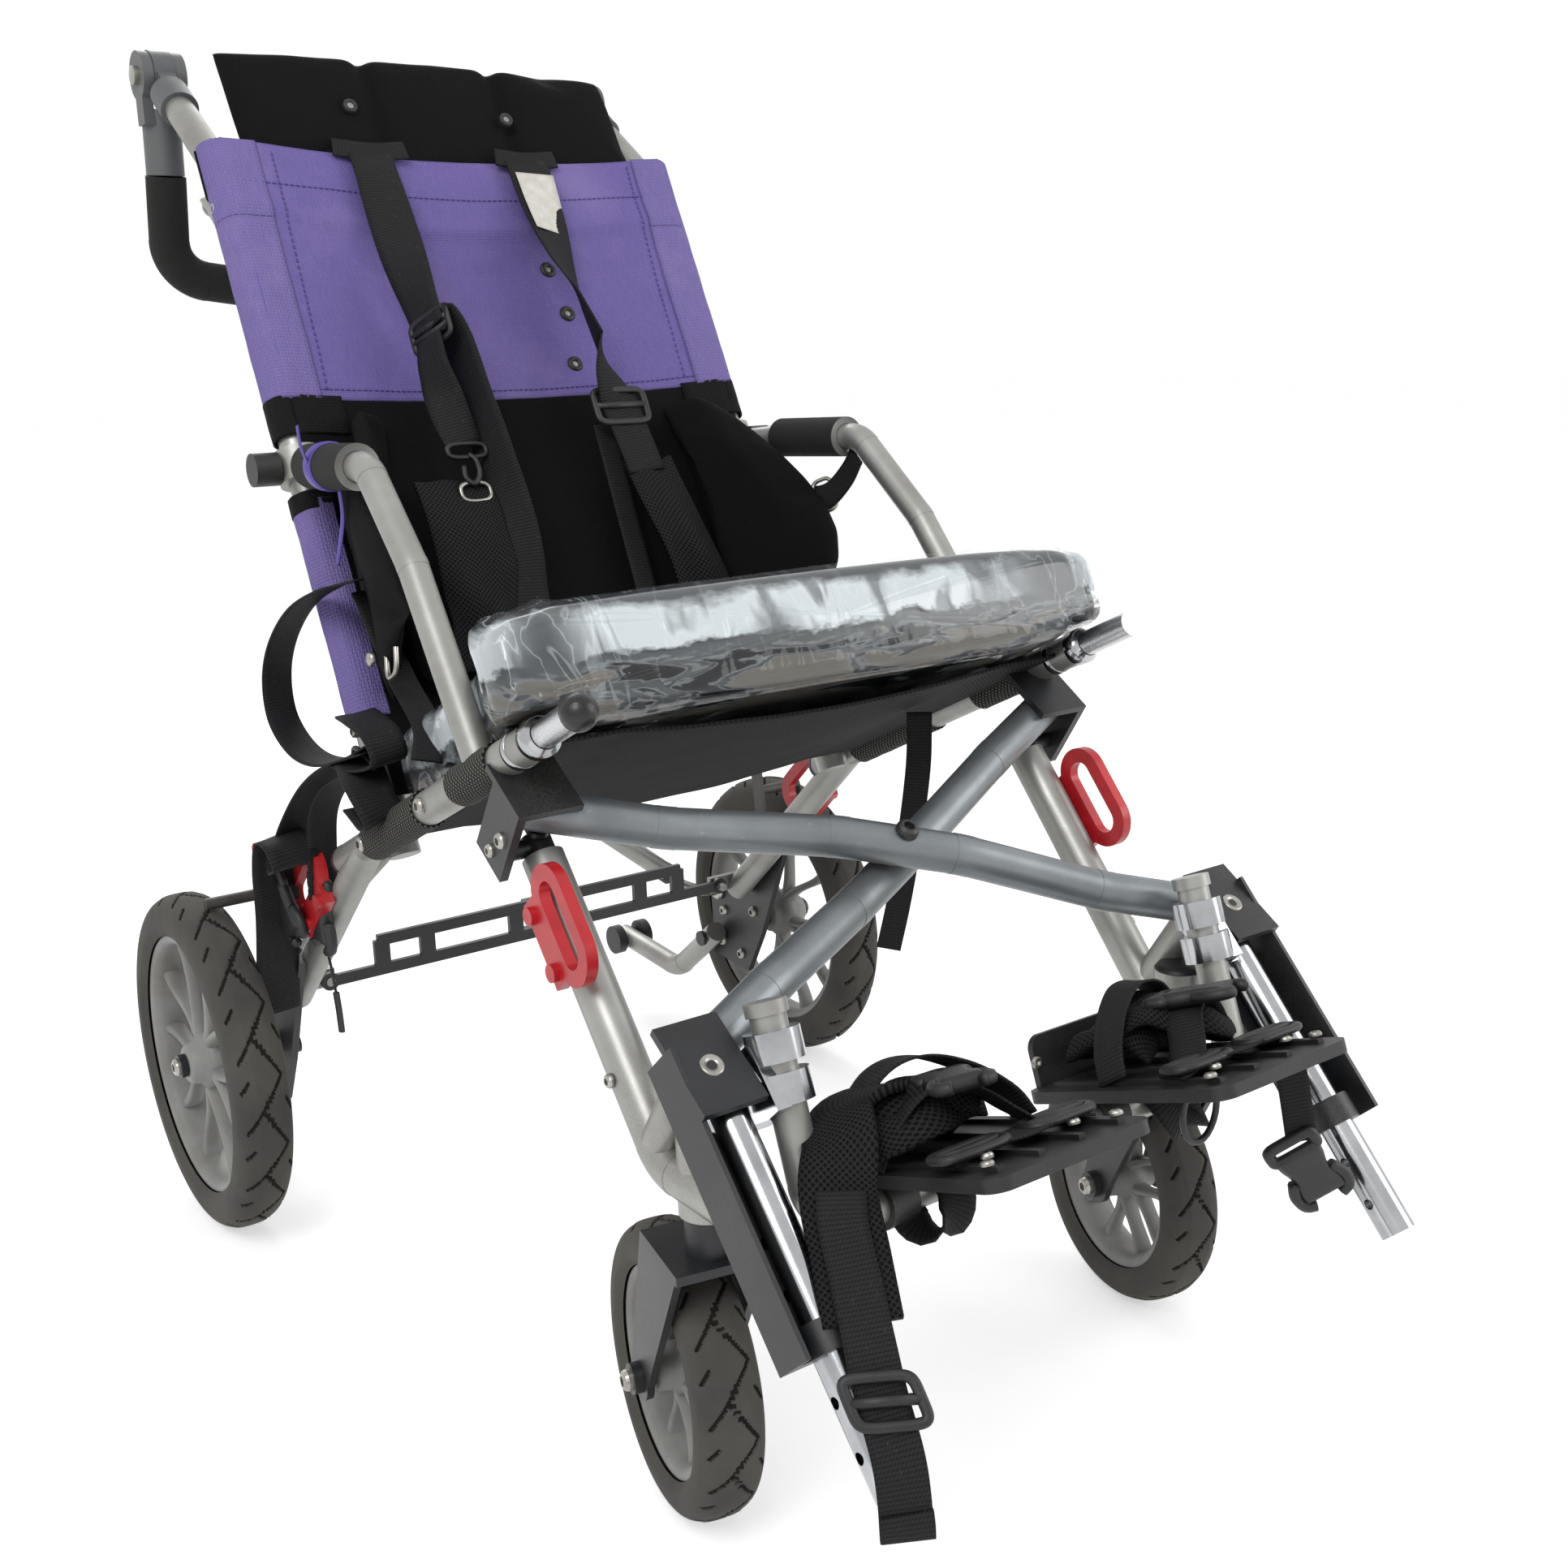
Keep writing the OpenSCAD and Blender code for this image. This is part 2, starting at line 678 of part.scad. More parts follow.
module front_leg(side) color(metal) at_side(side) difference() {
    union() {
        bent_tube([leg_front, leg_bend, leg_top], leg_r, leg_bend_r);
        translate([stem_x, stem[1], housing_low]) cylinder(h = housing_top - housing_low, r = housing_r);
        rod(pivot_low - leg_under * slope_out, pivot_low - (cross_r + clear) * slope_out, leg_post_r);
        rod(pivot_low - leg_under * slope_out, pivot_low + (cross_r + seat_gap) * slope_out, pin_r);
    }
    translate([stem_x, stem[1], housing_low - cut_over])
        cylinder(h = housing_top - housing_low - housing_roof + cut_over, r = stem_r + run_gap);
}
module hanger_bracket(side) color(black) at_side(side) difference() {
    union() {
        on_hanger() {
            translate([-angle_in, -angle_back, angle_start])
                cube([angle_in + angle_out, angle_wall, angle_end - angle_start]);
            translate([angle_out - angle_wall, -angle_back, -angle_rise])
                cube([angle_wall, angle_back + angle_front, angle_end + angle_rise]);
            translate([0, 0, angle_end - guide_len]) cylinder(h = guide_len, r = guide_r);
            translate([0, -angle_back, angle_end - guide_len])
                cube([angle_out, angle_back + angle_wall, guide_len]);
        }
        on_slope(pivot_low) translate([-angle_in, -lug_down, cross_r + clear])
            cube([angle_in + angle_out, lug_up + lug_down, brk_t]);
    }
    on_hanger() translate([0, 0, angle_start - cut_over])
        cylinder(h = angle_end, r = hanger_r + run_gap);
}
module hanger_tube(side) color(chrome) at_side(side) difference() {
    union() {
        rod(hanger_top, hanger_end, hanger_r);
        on_plate(swing_mid) for (s = [-1, 1])
            translate([0, 0, s * (swing_ring_gap + swing_ring_h / 2) - swing_ring_h / 2])
                cylinder(h = swing_ring_h, r = swing_ring_r);
        translate([tab_x, hanger_top[1], hanger_top[2]]) rotate([90 + hanger_slope, 0, 0])
            translate([0, -tab_d / 2, 0]) {
                cube([tab_w, tab_d, tab_h]);
                translate([-tab_in, 0, -tab_rise]) cube([tab_link, tab_d + tab_w, tab_rise + tab_h]);
            }
    }
    rod(swing_mid - arm_down * plate_out, swing_mid + arm_down * plate_out, arm_r + run_gap);
    on_hanger() for (i = [0 : hole_count - 1])
        translate([-2 * hanger_r, 0, hole_first + i * hole_pitch]) rotate([0, 90, 0])
            cylinder(h = 4 * hanger_r, r = hole_r);
}
module footrest_arm(side) color(metal) at_side(side) {
    bent_tube([swing_mid + arm_over * plate_out, arm_foot, [plate_in, arm_foot[1], arm_foot[2]]],
        arm_r, arm_bend_r);
    rod(swing_mid + arm_over * plate_out, swing_mid + (arm_over + arm_cap) * plate_out, arm_cap_r);
}
module heel_wall(w, h) hull() {
    square([w, plate_t]);
    for (x = [heel_round, w - heel_round])
        translate([x, h - heel_round]) circle(r = heel_round);
}
module footplate(side) color(black) at_side(side) difference() {
    union() {
        on_plate(plate_heel) {
            translate([plate_in, -plate_d, -plate_t]) linear_extrude(height = plate_t)
                round_plate(plate_w, plate_d + heel_t, plate_round);
            translate([plate_in + plate_round, heel_t, -plate_t]) rotate([90, 0, 0])
                linear_extrude(height = heel_t) heel_wall(plate_w - 2 * plate_round, heel_h + plate_t);
            for (i = [0 : rib_count - 1])
                translate([plate_in + plate_w * (i + 0.5) / rib_count - rib_w / 2, -plate_d + plate_round,
                    -rib_h]) cube([rib_w, plate_d - 2 * plate_round, 2 * rib_h]);
        }
        for (x = [plate_in + knuckle_inset, plate_in + plate_w - knuckle_inset - knuckle_w])
            bar_x(arm_foot, x, x + knuckle_w, knuckle_r);
    }
    bar_x(arm_foot, plate_in - cut_over, plate_in + plate_w + cut_over, arm_r + run_gap);
}
module at_caster(side) at_side(side) translate(stem) rotate([0, 0, -side * caster_turn]) children();
module caster_fork(side) color(black) at_caster(side) {
    translate([-fork_half - fork_t, -crown_front, crown_low])
        cube([2 * (fork_half + fork_t), crown_front + crown_back, crown_t]);
    translate([0, 0, crown_low]) cylinder(h = housing_low - crown_low - clear, r = collar_r);
    translate([0, 0, crown_low]) cylinder(h = housing_top - housing_roof - stem_play - crown_low, r = stem_r);
    for (s = [-1, 1]) {
        side_plate(s > 0 ? fork_half : -fork_half - fork_t, fork_t) {
            polygon([[-crown_front, crown_low + crown_t], [crown_back, crown_low + crown_t],
                [caster_trail + fork_eye, caster_r], [caster_trail - fork_eye, caster_r]]);
            translate([caster_trail, caster_r]) circle(r = fork_eye);
        }
        bar_x([0, caster_trail, caster_r], s > 0 ? fork_half + fork_t / 2 : -fork_half - fork_t - nut_t,
            s > 0 ? fork_half + fork_t + nut_t : -fork_half - fork_t / 2, nut_r);
    }
    bar_x([0, caster_trail, caster_r], -fork_half - fork_t, fork_half + fork_t, axle_r);
}
module rim_body(r, half, hub, hub_half, gap, w) difference() {
    union() {
        rotate_extrude() translate([r - rim_wall, -half * rim_share]) square([rim_wall, 2 * half * rim_share]);
        cylinder(h = 2 * hub_half, r = hub, center = true);
        for (i = [0 : spoke_pairs - 1], s = [-1, 1]) rotate([0, 0, 360 * i / spoke_pairs])
            translate([hub * spoke_root_share, s * gap / 2 - w / 2, -spoke_t / 2])
                cube([r - rim_wall / 2 - hub * spoke_root_share, w, spoke_t]);
    }
    cylinder(h = 2 * hub_half + 2 * cut_over, r = axle_r + run_gap, center = true);
}
module tyre_body(r, half, h, round_r) rotate_extrude() {
    translate([r - h + seat_gap, -half + tyre_waist])
        square([h - round_r - seat_gap, 2 * half - 2 * tyre_waist]);
    translate([r - round_r - cut_over, -half + round_r]) square([round_r + cut_over, 2 * half - 2 * round_r]);
    for (s = [-1, 1]) translate([r - round_r, s * (half - round_r)]) circle(r = round_r);
}
module at_rear_wheel(side) at_side(side) translate(rear_axle) rotate([0, 90, 0]) children();
module at_caster_wheel(side) at_caster(side) translate([0, caster_trail, caster_r]) rotate([0, 90, 0]) children();
module rear_rim(side) color(rim_grey) at_rear_wheel(side)
    rim_body(rear_rim_r, rear_tyre_w / 2, rear_hub_r, rear_hub_half, spoke_gap, spoke_w);
module rear_tyre(side) color(rubber) at_rear_wheel(side)
    tyre_body(rear_wheel_r, rear_tyre_w / 2, rear_tyre_h, tyre_round);
module caster_rim(side) color(rim_grey) at_caster_wheel(side)
    rim_body(caster_rim_r, caster_tyre_w / 2, caster_hub_r, caster_hub_half, caster_spoke_gap,
        caster_spoke_w);
module caster_tyre(side) color(rubber) at_caster_wheel(side)
    tyre_body(caster_r, caster_tyre_w / 2, caster_tyre_h, tyre_round);
module brake_lever(side) color(black) at_side(side) translate([0, rear_axle[1], rear_axle[2]]) {
    x = plate_x + plate_wall + brake_gap;
    d = brake_top - brake_at;
    side_plate(x, brake_t) difference() {
        translate([brake_at[1] + d[1] / 2, brake_at[2] + d[2] / 2]) rotate(atan2(d[2], d[1]))
            stadium(norm(d), brake_w / 2);
        translate([brake_at[1], brake_at[2]]) circle(r = pin_r + run_gap);
    }
    bar_x(brake_top, x - brake_peg, x + brake_t / 2, brake_peg_r);
    bar_x(brake_stub, x + brake_t / 2, rear_axle[0], brake_stub_r);
}
module anti_tip_arm(side) color(black) at_side(side) difference() {
    bent_tube([tip_root - tip_r * unit(tip_low - tip_root), tip_low, tip_end + [0, tip_r, 0]], tip_r, tip_bend_r);
    bar_x(tip_root, tip_x - 2 * tip_r, tip_x + 2 * tip_r, tip_pin_r + run_gap);
    bar_x(tip_end, tip_x - 2 * tip_r, tip_x + 2 * tip_r, roller_pin_r + run_gap);
}
module anti_tip_rollers(side) color(black) at_side(side) {
    bar_x(tip_end, tip_x - tip_r - clear - roller_w, tip_x + tip_r + clear + roller_w, roller_pin_r);
    for (s = [-1, 1]) bar_x(tip_end, tip_x + s * (tip_r + clear + roller_w / 2) - roller_w / 2,
        tip_x + s * (tip_r + clear + roller_w / 2) + roller_w / 2, roller_r);
}
module spreader(side) color(black) at_side(side) {
    y = side > 0 ? spread_y + spread_step / 2 : spread_y - spread_t - spread_step / 2;
    difference() {
        union() {
            translate([-spread_lap, y, spread_z - spread_h / 2]) cube([spread_x + spread_lap, spread_t, spread_h]);
            bar_y([spread_x, 0, spread_z], y, y + spread_t, head_r);
            translate([-spread_lap, y, spread_z + spread_rise - spread_h / 2])
                cube([spread_x - spread_short + spread_lap, spread_t, spread_h]);
            for (k = rung_shares) translate([spread_x * k - spread_rung / 2, y, spread_z])
                cube([spread_rung, spread_t, spread_rise]);
        }
        bar_y([spread_x, 0, spread_z], y - cut_over, y + spread_t + cut_over, pin_r + run_gap);
    }
}
function brace_y(side) = brace_pin[1] + brace_behind + (side > 0 ? brace_step : 0);
module back_brace(side) color(metal) at_side(side) difference() {
    y = brace_y(side);
    bent_tube([[brace_pin[0], y, brace_z] + brace_r * unit([brace_pin[0] - brace_bend_at[0], 0,
        brace_z - brace_bend_at[1]]), [brace_bend_at[0], y, brace_bend_at[1]],
        [brace_end_at[0], y, brace_end_at[1]]], brace_r, brace_bend_r);
    bar_y(brace_pin, y - 2 * brace_r, y + 2 * brace_r, brace_pin_r + run_gap);
}
cross_off = 15;
cross_flat = 45;
cross_straight = 80;
cross_past = 17;
cross_bend_r = 110;
function cross_pt(s, t, n) = [s * t * cos(cross_angle), t * sin(cross_angle), n];
module cross_tube(s, off) bent_tube([cross_pt(s, -cross_half - cross_past, 0),
    cross_pt(s, -cross_half + cross_straight, 0), cross_pt(s, -cross_flat, off), cross_pt(s, cross_flat, off),
    cross_pt(s, cross_half - cross_straight, 0), cross_pt(s, cross_half + cross_past, 0)], cross_r, cross_bend_r);
module cross_holes(s) for (t = [-cross_half, cross_half])
    translate(cross_pt(s, t, -2 * cross_r)) cylinder(h = 4 * cross_r, r = pin_r + run_gap);
module cross_tube_a() color(cross_grey) at_middle() on_slope(cross_mid) {
    difference() {
        cross_tube(right, cross_off);
        cross_holes(right);
    }
    translate([0, 0, -cross_off - cross_r - clear - head_t])
        cylinder(h = 2 * cross_off + cross_r + clear + head_t, r = pin_r);
    translate([0, 0, -cross_off - cross_r - clear - head_t]) cylinder(h = head_t, r = head_r);
}
module cross_tube_b() color(cross_grey) at_middle() on_slope(cross_mid) difference() {
    rotate([0, 180, 0]) cross_tube(right, cross_off);
    cross_holes(left);
    translate([0, 0, -cross_off - 2 * cross_r]) cylinder(h = 4 * cross_r, r = pin_r + run_gap);
}
function sag_line(half, sag, t) = concat(
    [for (i = [0 : sling_steps]) let (u = 2 * i / sling_steps - 1) [u * half, -sag * (1 - u * u)]],
    [for (i = [sling_steps : -1 : 0]) let (u = 2 * i / sling_steps - 1) [u * half, t - sag * (1 - u * u)]]);
module seat_sling() color(black) at_middle() on_seat() translate([0, -sling_back, sling_up])
    rotate([90, 0, 0]) linear_extrude(height = sling_front - sling_back)
        polygon(sag_line(rail_x - sqrt(rail_r * rail_r - sling_up * sling_up) - clear, seat_sag, cloth_t));
module seat_cushion() color(vinyl) at_middle() on_seat()
    translate([0, -cushion_back - cushion_d / 2, cushion_up]) pillow(cushion_w, cushion_d, cushion_h, cushion_crown,
        pillow_draw_share);
module back_sling() color(purple) at_middle() on_back() {
    difference() {
        translate([0, -sheet_off, back_low]) linear_extrude(height = back_top - back_low)
            mirror([0, 1]) polygon(sag_line(post_x, back_sag, -cloth_t));
        for (s = [-1, 1]) translate([s * post_x, 0, rest_along - notch_low])
            cylinder(h = notch_low + rest_ring_w / 2 + soft_gap, r = rest_ring_r + soft_gap);
    }
    for (s = [-1, 1], k = [[wrap_low, wrap_top], [sleeve_low, sleeve_top]])
        translate([s * post_x, 0, k[0]]) difference() {
            cylinder(h = k[1] - k[0], r = post_r + clear + wrap_t);
            translate([0, 0, -cut_over]) cylinder(h = k[1] - k[0] + 2 * cut_over, r = post_r + clear);
        }
}
module head_panel() color(black) at_middle() on_back() for (i = [0 : head_sections - 1])
    translate([head_w * ((i + 0.5) / head_sections - 0.5), head_t_pad / 2, head_low + head_h / 2])
        rotate([90, 0, 0]) pillow(head_w / head_sections, head_h, head_t_pad, wrap_t, pad_draw_share);
module harness() color(black) at_middle() on_back() for (s = [-1, 1]) {
    y = -sheet_off + back_sag * (1 - pow((strap_x + vest_w / 2) / post_x, 2)) - soft_gap;
    translate([s * strap_x - web_w / 2, y - strap_t, strap_low]) cube([web_w, strap_t, strap_top - strap_low]);
    translate([s * strap_x - vest_w / 2, y - vest_t, vest_low]) cube([vest_w, vest_t, strap_low - vest_low]);
}
module side_pads() color(black) at_middle() on_back() for (s = [-1, 1])
    translate([s * (pad_x + pad_t / 2), -pad_behind - pad_d / 2, pad_up + pad_h / 2])
        rotate([0, -90 * s, 0]) pillow(pad_h, pad_d, pad_t, wrap_t, pad_draw_share);

side_frame(right);  // right_side_frame
side_frame(left);  // left_side_frame
back_post(right);  // right_back_post
back_post(left);  // left_back_post
armrest(right);  // right_armrest
armrest(left);  // left_armrest
arm_knob(right);  // right_arm_knob
arm_knob(left);  // left_arm_knob
rail_bracket(right);  // right_rail_bracket
rail_bracket(left);  // left_rail_bracket
axle_plate(right);  // right_axle_plate
axle_plate(left);  // left_axle_plate
rear_tie_loop(right);  // right_rear_tie_loop
rear_tie_loop(left);  // left_rear_tie_loop
handle_elbow(right);  // right_handle_elbow
handle_elbow(left);  // left_handle_elbow
handle_button(right);  // right_handle_button
handle_button(left);  // left_handle_button
push_handle(right);  // right_push_handle
push_handle(left);  // left_push_handle
front_leg(right);  // right_front_leg
front_leg(left);  // left_front_leg
front_tie_loop(right);  // right_front_tie_loop
front_tie_loop(left);  // left_front_tie_loop
hanger_bracket(right);  // right_hanger_bracket
hanger_bracket(left);  // left_hanger_bracket
hanger_tube(right);  // right_hanger_tube
hanger_tube(left);  // left_hanger_tube
footrest_arm(right);  // right_footrest_arm
footrest_arm(left);  // left_footrest_arm
footplate(right);  // right_footplate
footplate(left);  // left_footplate
caster_fork(right);  // right_caster_fork
caster_fork(left);  // left_caster_fork
caster_rim(right);  // right_caster_rim
caster_rim(left);  // left_caster_rim
caster_tyre(right);  // right_caster_tyre
caster_tyre(left);  // left_caster_tyre
rear_rim(right);  // right_rear_rim
rear_rim(left);  // left_rear_rim
rear_tyre(right);  // right_rear_tyre
rear_tyre(left);  // left_rear_tyre
brake_lever(right);  // right_brake_lever
brake_lever(left);  // left_brake_lever
anti_tip_arm(right);  // right_anti_tip_arm
anti_tip_arm(left);  // left_anti_tip_arm
anti_tip_rollers(right);  // right_anti_tip_rollers
anti_tip_rollers(left);  // left_anti_tip_rollers
spreader(right);  // right_spreader
spreader(left);  // left_spreader
back_brace(right);  // right_back_brace
back_brace(left);  // left_back_brace
cross_tube_a();
cross_tube_b();
seat_sling();
seat_cushion();
back_sling();
head_panel();
harness();
side_pads();
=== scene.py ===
# Look of the folding special needs buggy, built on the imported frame.
import json
import math
import bpy
import bmesh
import numpy as np
from mathutils import Matrix, Vector, noise


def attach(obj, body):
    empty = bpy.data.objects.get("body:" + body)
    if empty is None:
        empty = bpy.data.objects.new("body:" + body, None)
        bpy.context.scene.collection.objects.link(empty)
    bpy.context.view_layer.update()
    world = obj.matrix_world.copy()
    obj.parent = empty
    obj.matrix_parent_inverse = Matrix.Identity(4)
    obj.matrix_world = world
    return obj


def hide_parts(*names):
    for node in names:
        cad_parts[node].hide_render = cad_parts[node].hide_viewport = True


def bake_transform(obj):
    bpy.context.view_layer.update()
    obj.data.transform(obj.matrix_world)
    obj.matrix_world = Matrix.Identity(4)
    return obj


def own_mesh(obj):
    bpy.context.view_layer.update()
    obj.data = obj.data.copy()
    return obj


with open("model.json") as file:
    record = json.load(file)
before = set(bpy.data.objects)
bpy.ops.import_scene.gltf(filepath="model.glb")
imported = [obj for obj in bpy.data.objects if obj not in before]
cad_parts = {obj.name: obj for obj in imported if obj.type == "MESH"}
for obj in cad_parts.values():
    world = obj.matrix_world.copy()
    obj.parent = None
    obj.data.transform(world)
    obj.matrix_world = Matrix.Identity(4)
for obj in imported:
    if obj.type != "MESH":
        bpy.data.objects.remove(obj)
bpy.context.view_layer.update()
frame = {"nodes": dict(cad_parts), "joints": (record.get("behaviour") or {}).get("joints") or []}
NODES = frame["nodes"]
JOINT = {j["name"]: j for j in frame["joints"]}
SIDES = (("right", -1), ("left", 1))
C, S, RAD, TAU = math.cos, math.sin, math.radians, math.tau

# ---- layout: millimetres from the seat corner, turned into the frame's metres
AXLE_Y, CORNER_Z, POST_X, RAIL_X = 218.0, 371.0, 206.0, 232.0
MID = AXLE_Y - 1000 * JOINT["left_wheel_spin"]["pos_m"][1]
TILT, RECL, TOE, LEG = (RAD(a) for a in (24.7, 26.5, 20.0, 49.8))


def P(x, y, z):
    return Vector((x / 1000, (y - MID) / 1000, z / 1000))


def back(x, y, z):
    """Place on the back: y behind the posts' plane, z up along them."""
    return P(x, y * C(RECL) + z * S(RECL), CORNER_Z - y * S(RECL) + z * C(RECL))


def seat(x, a, h):
    """Place on the seat: a forward along the rails, h over them."""
    return P(x, -a * C(TILT) + h * S(TILT), CORNER_Z + a * S(TILT) + h * C(TILT))


def jp(name):
    return Vector(JOINT[name]["pos_m"])


def unit(*v):
    return Vector(v).normalized()


def back_dir(x, y, z):
    return (back(x, y, z) - back(0, 0, 0)).normalized()


XA = Vector((1, 0, 0))
BN, BD = back_dir(0, -1, 0), back_dir(0, 0, 1)    # out of the back's front, and up along it
RD = Vector((0.0, -C(TILT), S(TILT)))             # forward along a seat rail
CROSS_AXIS = Vector(JOINT["cross_centre"]["axis"]).normalized()


def lean(a, b):
    """A strap's width direction: a parts across the back and b parts out of it."""
    return (XA * a + BN * b).normalized()


def N3(x, y, z, s=1.0):
    return noise.noise(Vector((x * s, y * s, z * s)))


def spow(v, e):
    return math.copysign(abs(v) ** e, v)


def share(v):
    return max(0.0, min(1.0, v))


# ---- materials
def lin(h):
    v = [int(h[i:i + 2], 16) / 255 for i in (1, 3, 5)]
    return tuple(c / 12.92 if c <= 0.04045 else ((c + 0.055) / 1.055) ** 2.4 for c in v) + (1.0,)


def wire(tree, value, sock):
    if isinstance(value, bpy.types.NodeSocket):
        tree.links.new(value, sock)
    else:
        sock.default_value = value


class Mat:
    """A node material: put() adds a node, and its inputs are set or linked by name or number."""

    def __init__(self, name, color, rough, metal=0.0, spec=0.5):
        self.m = bpy.data.materials.new(name)
        self.m.use_nodes = True
        self.nt = self.m.node_tree
        self.b = self.nt.nodes["Principled BSDF"]
        for k, v in (("Base Color", lin(color)), ("Roughness", rough), ("Metallic", metal),
                     ("Specular IOR Level", spec)):
            self.b.inputs[k].default_value = v

    def put(self, kind, out=0, operation=None, **ins):
        n = self.nt.nodes.new("ShaderNode" + kind)
        if operation:
            n.operation = operation
        for k, v in ins.items():
            wire(self.nt, v, n.inputs[int(k[1:]) if k[1:].isdigit() else k])
        return n.outputs[out]

    def coord(self, kind="Object"):
        return self.nt.nodes.new("ShaderNodeTexCoord").outputs[kind]

    def split(self, vec):
        return self.put("SeparateXYZ", Vector=vec).node.outputs[:2]

    def math(self, op, a, b=0.0):
        return self.put("Math", operation=op, i0=a, i1=b)

    def add(self, a, b):
        return self.math("ADD", a, b)

    def sub(self, a, b):
        return self.math("SUBTRACT", a, b)

    def mul(self, a, b):
        return self.math("MULTIPLY", a, b)

    def abs(self, a):
        return self.math("ABSOLUTE", a)

    def sine(self, a):
        return self.math("SINE", a)

    def noise(self, vec, scale, detail=4.0, rough=0.55, warp=0.0):
        """Fractal noise; a scale of three numbers stretches it along the axes."""
        if np.ndim(scale):
            vec, scale = self.put("Mapping", Vector=vec, Scale=scale), 1.0
        return self.put("TexNoise", Vector=vec, Scale=scale, Detail=detail, Roughness=rough, Distortion=warp)

    def ramp(self, fac, lo, hi, a=0.0, b=1.0):
        return self.put("MapRange", Value=fac, i1=lo, i2=hi, i3=a, i4=b)

    def mix(self, fac, a, b):
        n = self.nt.nodes.new("ShaderNodeMix")
        n.data_type = "RGBA"
        for i, v in ((0, fac), (6, a), (7, b)):
            wire(self.nt, v, n.inputs[i])
        return n.outputs[2]

    def set(self, name, sock):
        self.nt.links.new(sock, self.b.inputs[name])

    def now(self, name):
        return self.b.inputs[name].links[0].from_socket

    def bump(self, height, strength, dist=0.001):
        self.set("Normal", self.put("Bump", Height=height, Strength=strength, Distance=dist))

    def coat(self, weight, rough):
        self.b.inputs["Coat Weight"].default_value = weight
        self.b.inputs["Coat Roughness"].default_value = rough

    def along(self, axis):
        """Place along an axis of the part's frame, in metres."""
        return self.put("VectorMath", operation="DOT_PRODUCT", out=1, i0=self.coord(), i1=tuple(axis))

    def zone(self, axis, lo, hi, soft=0.0006):
        """1 where the place along an axis lies between lo and hi."""
        v = self.along(axis)
        return self.mul(self.ramp(v, lo - soft, lo + soft), self.ramp(v, hi - soft, hi + soft, 1.0, 0.0))


def worn(name, c1, c2, rough, metal, scale, fine, bump, spread, spec=0.5, dirt=None):
    """Painted, moulded or drawn surface: two tones in clouds, fine grain, uneven gloss, dust in patches."""
    m = Mat(name, c1, rough, metal, spec)
    o = m.coord()
    cloud, grain = m.noise(o, scale, 5.0), m.noise(o, fine, 3.0)
    col = m.mix(m.ramp(cloud, 0.35, 0.68), lin(c1), lin(c2))
    if dirt:
        patch = m.mul(m.ramp(m.noise(o, scale * 0.4, 6.0), 0.5, 0.72), m.ramp(grain, 0.35, 0.65))
        col = m.mix(m.mul(patch, 0.55), col, lin(dirt))
    m.set("Base Color", col)
    m.set("Roughness", m.add(m.mul(cloud, spread), rough - spread / 2))
    m.bump(grain, bump, 0.0004)
    return m


def metal_tube(name, c1, c2, rough, metal):
    """Drawn tube: clouds, fine grain, and thin bright scuffs."""
    m = worn(name, c1, c2, rough, metal, 14.0, 900.0, 0.06, 0.14, dirt="#6b655b")
    scuff = m.noise(m.coord(), (90.0, 22.0, 300.0), 3.0, 0.5)
    m.set("Base Color", m.mix(m.ramp(scuff, 0.68, 0.80, 0.0, 0.32), m.now("Base Color"), lin("#d8d8d4")))
    return m


def two_zone(name, axis, lo, hi, inside, outside):
    """One material for a node of two finishes: inside (colour, roughness, metal, grain, second colour)
    lies between lo and hi along axis, and outside is (colour, roughness, metal)."""
    m = Mat(name, *outside)
    z = m.zone(axis, lo, hi)
    o = m.coord()
    cloud, grain = m.noise(o, 24.0, 5.0), m.noise(o, inside[3])

    def between(k):
        return m.add(m.mul(z, inside[k] - outside[k]), outside[k])

    base = m.mix(m.ramp(cloud, 0.35, 0.68, 0.0, 0.35), lin(outside[0]), lin("#6f6b64"))
    ins = m.mix(m.ramp(grain, 0.4, 0.7, 0.0, 0.6), lin(inside[0]), lin(inside[4]))
    m.set("Base Color", m.mix(z, base, ins))
    m.set("Roughness", m.add(between(1), m.mul(cloud, 0.08)))
    m.set("Metallic", between(2))
    m.bump(m.mul(grain, m.add(m.mul(z, 0.9), 0.05)), 0.5, 0.0006)
    return m


def on_uv(name, c1, c2, rough, spec, pattern, depth, dist, over=None):
    """Cloth on UVs in metres: pattern(m, uv, u, v) gives its relief and its share of c1. Over is a tone that
    lies on it in clouds: (scale, detail, from, to, most, colour)."""
    m = Mat(name, c1, rough, 0.0, spec)
    uv = m.coord("UV")
    h, tone = pattern(m, uv, *m.split(uv))
    col = m.mix(tone, lin(c2), lin(c1))
    if over:
        col = m.mix(m.ramp(m.noise(uv, *over[:2]), *over[2:4], 0.0, over[4]), col, lin(over[5]))
    m.set("Base Color", col)
    m.bump(h, depth, dist)
    return m


def weave(name, c1, c2, pitch, rough, depth, fade=None, spec=0.3):
    """Plain weave: over-and-under threads, slub variation, an optional lighter tone in clouds, which is faded cloth on
    the canvas and a painted sheen on the edge sleeves.
    """
    def threads(m, uv, u, v):
        ku, kv = (m.mul(t, math.pi / pitch) for t in (u, v))
        pick = m.ramp(m.mul(m.sine(ku), m.sine(kv)), -0.2, 0.2)
        warp, weft = (m.sub(1.0, m.abs(m.sine(m.add(t, math.pi / 2)))) for t in (ku, kv))
        h = m.add(m.mul(pick, warp), m.mul(m.sub(1.0, pick), weft))
        slub = m.noise(uv, (900.0, 60.0, 1.0), 3.0)
        return h, m.ramp(m.add(m.mul(h, 0.55), m.mul(slub, 0.6)), 0.25, 0.95)

    return on_uv(name, c1, c2, rough, spec, threads, depth, pitch * 0.35, fade and (7.0, 5.0, 0.5, 0.78, 0.55, fade))


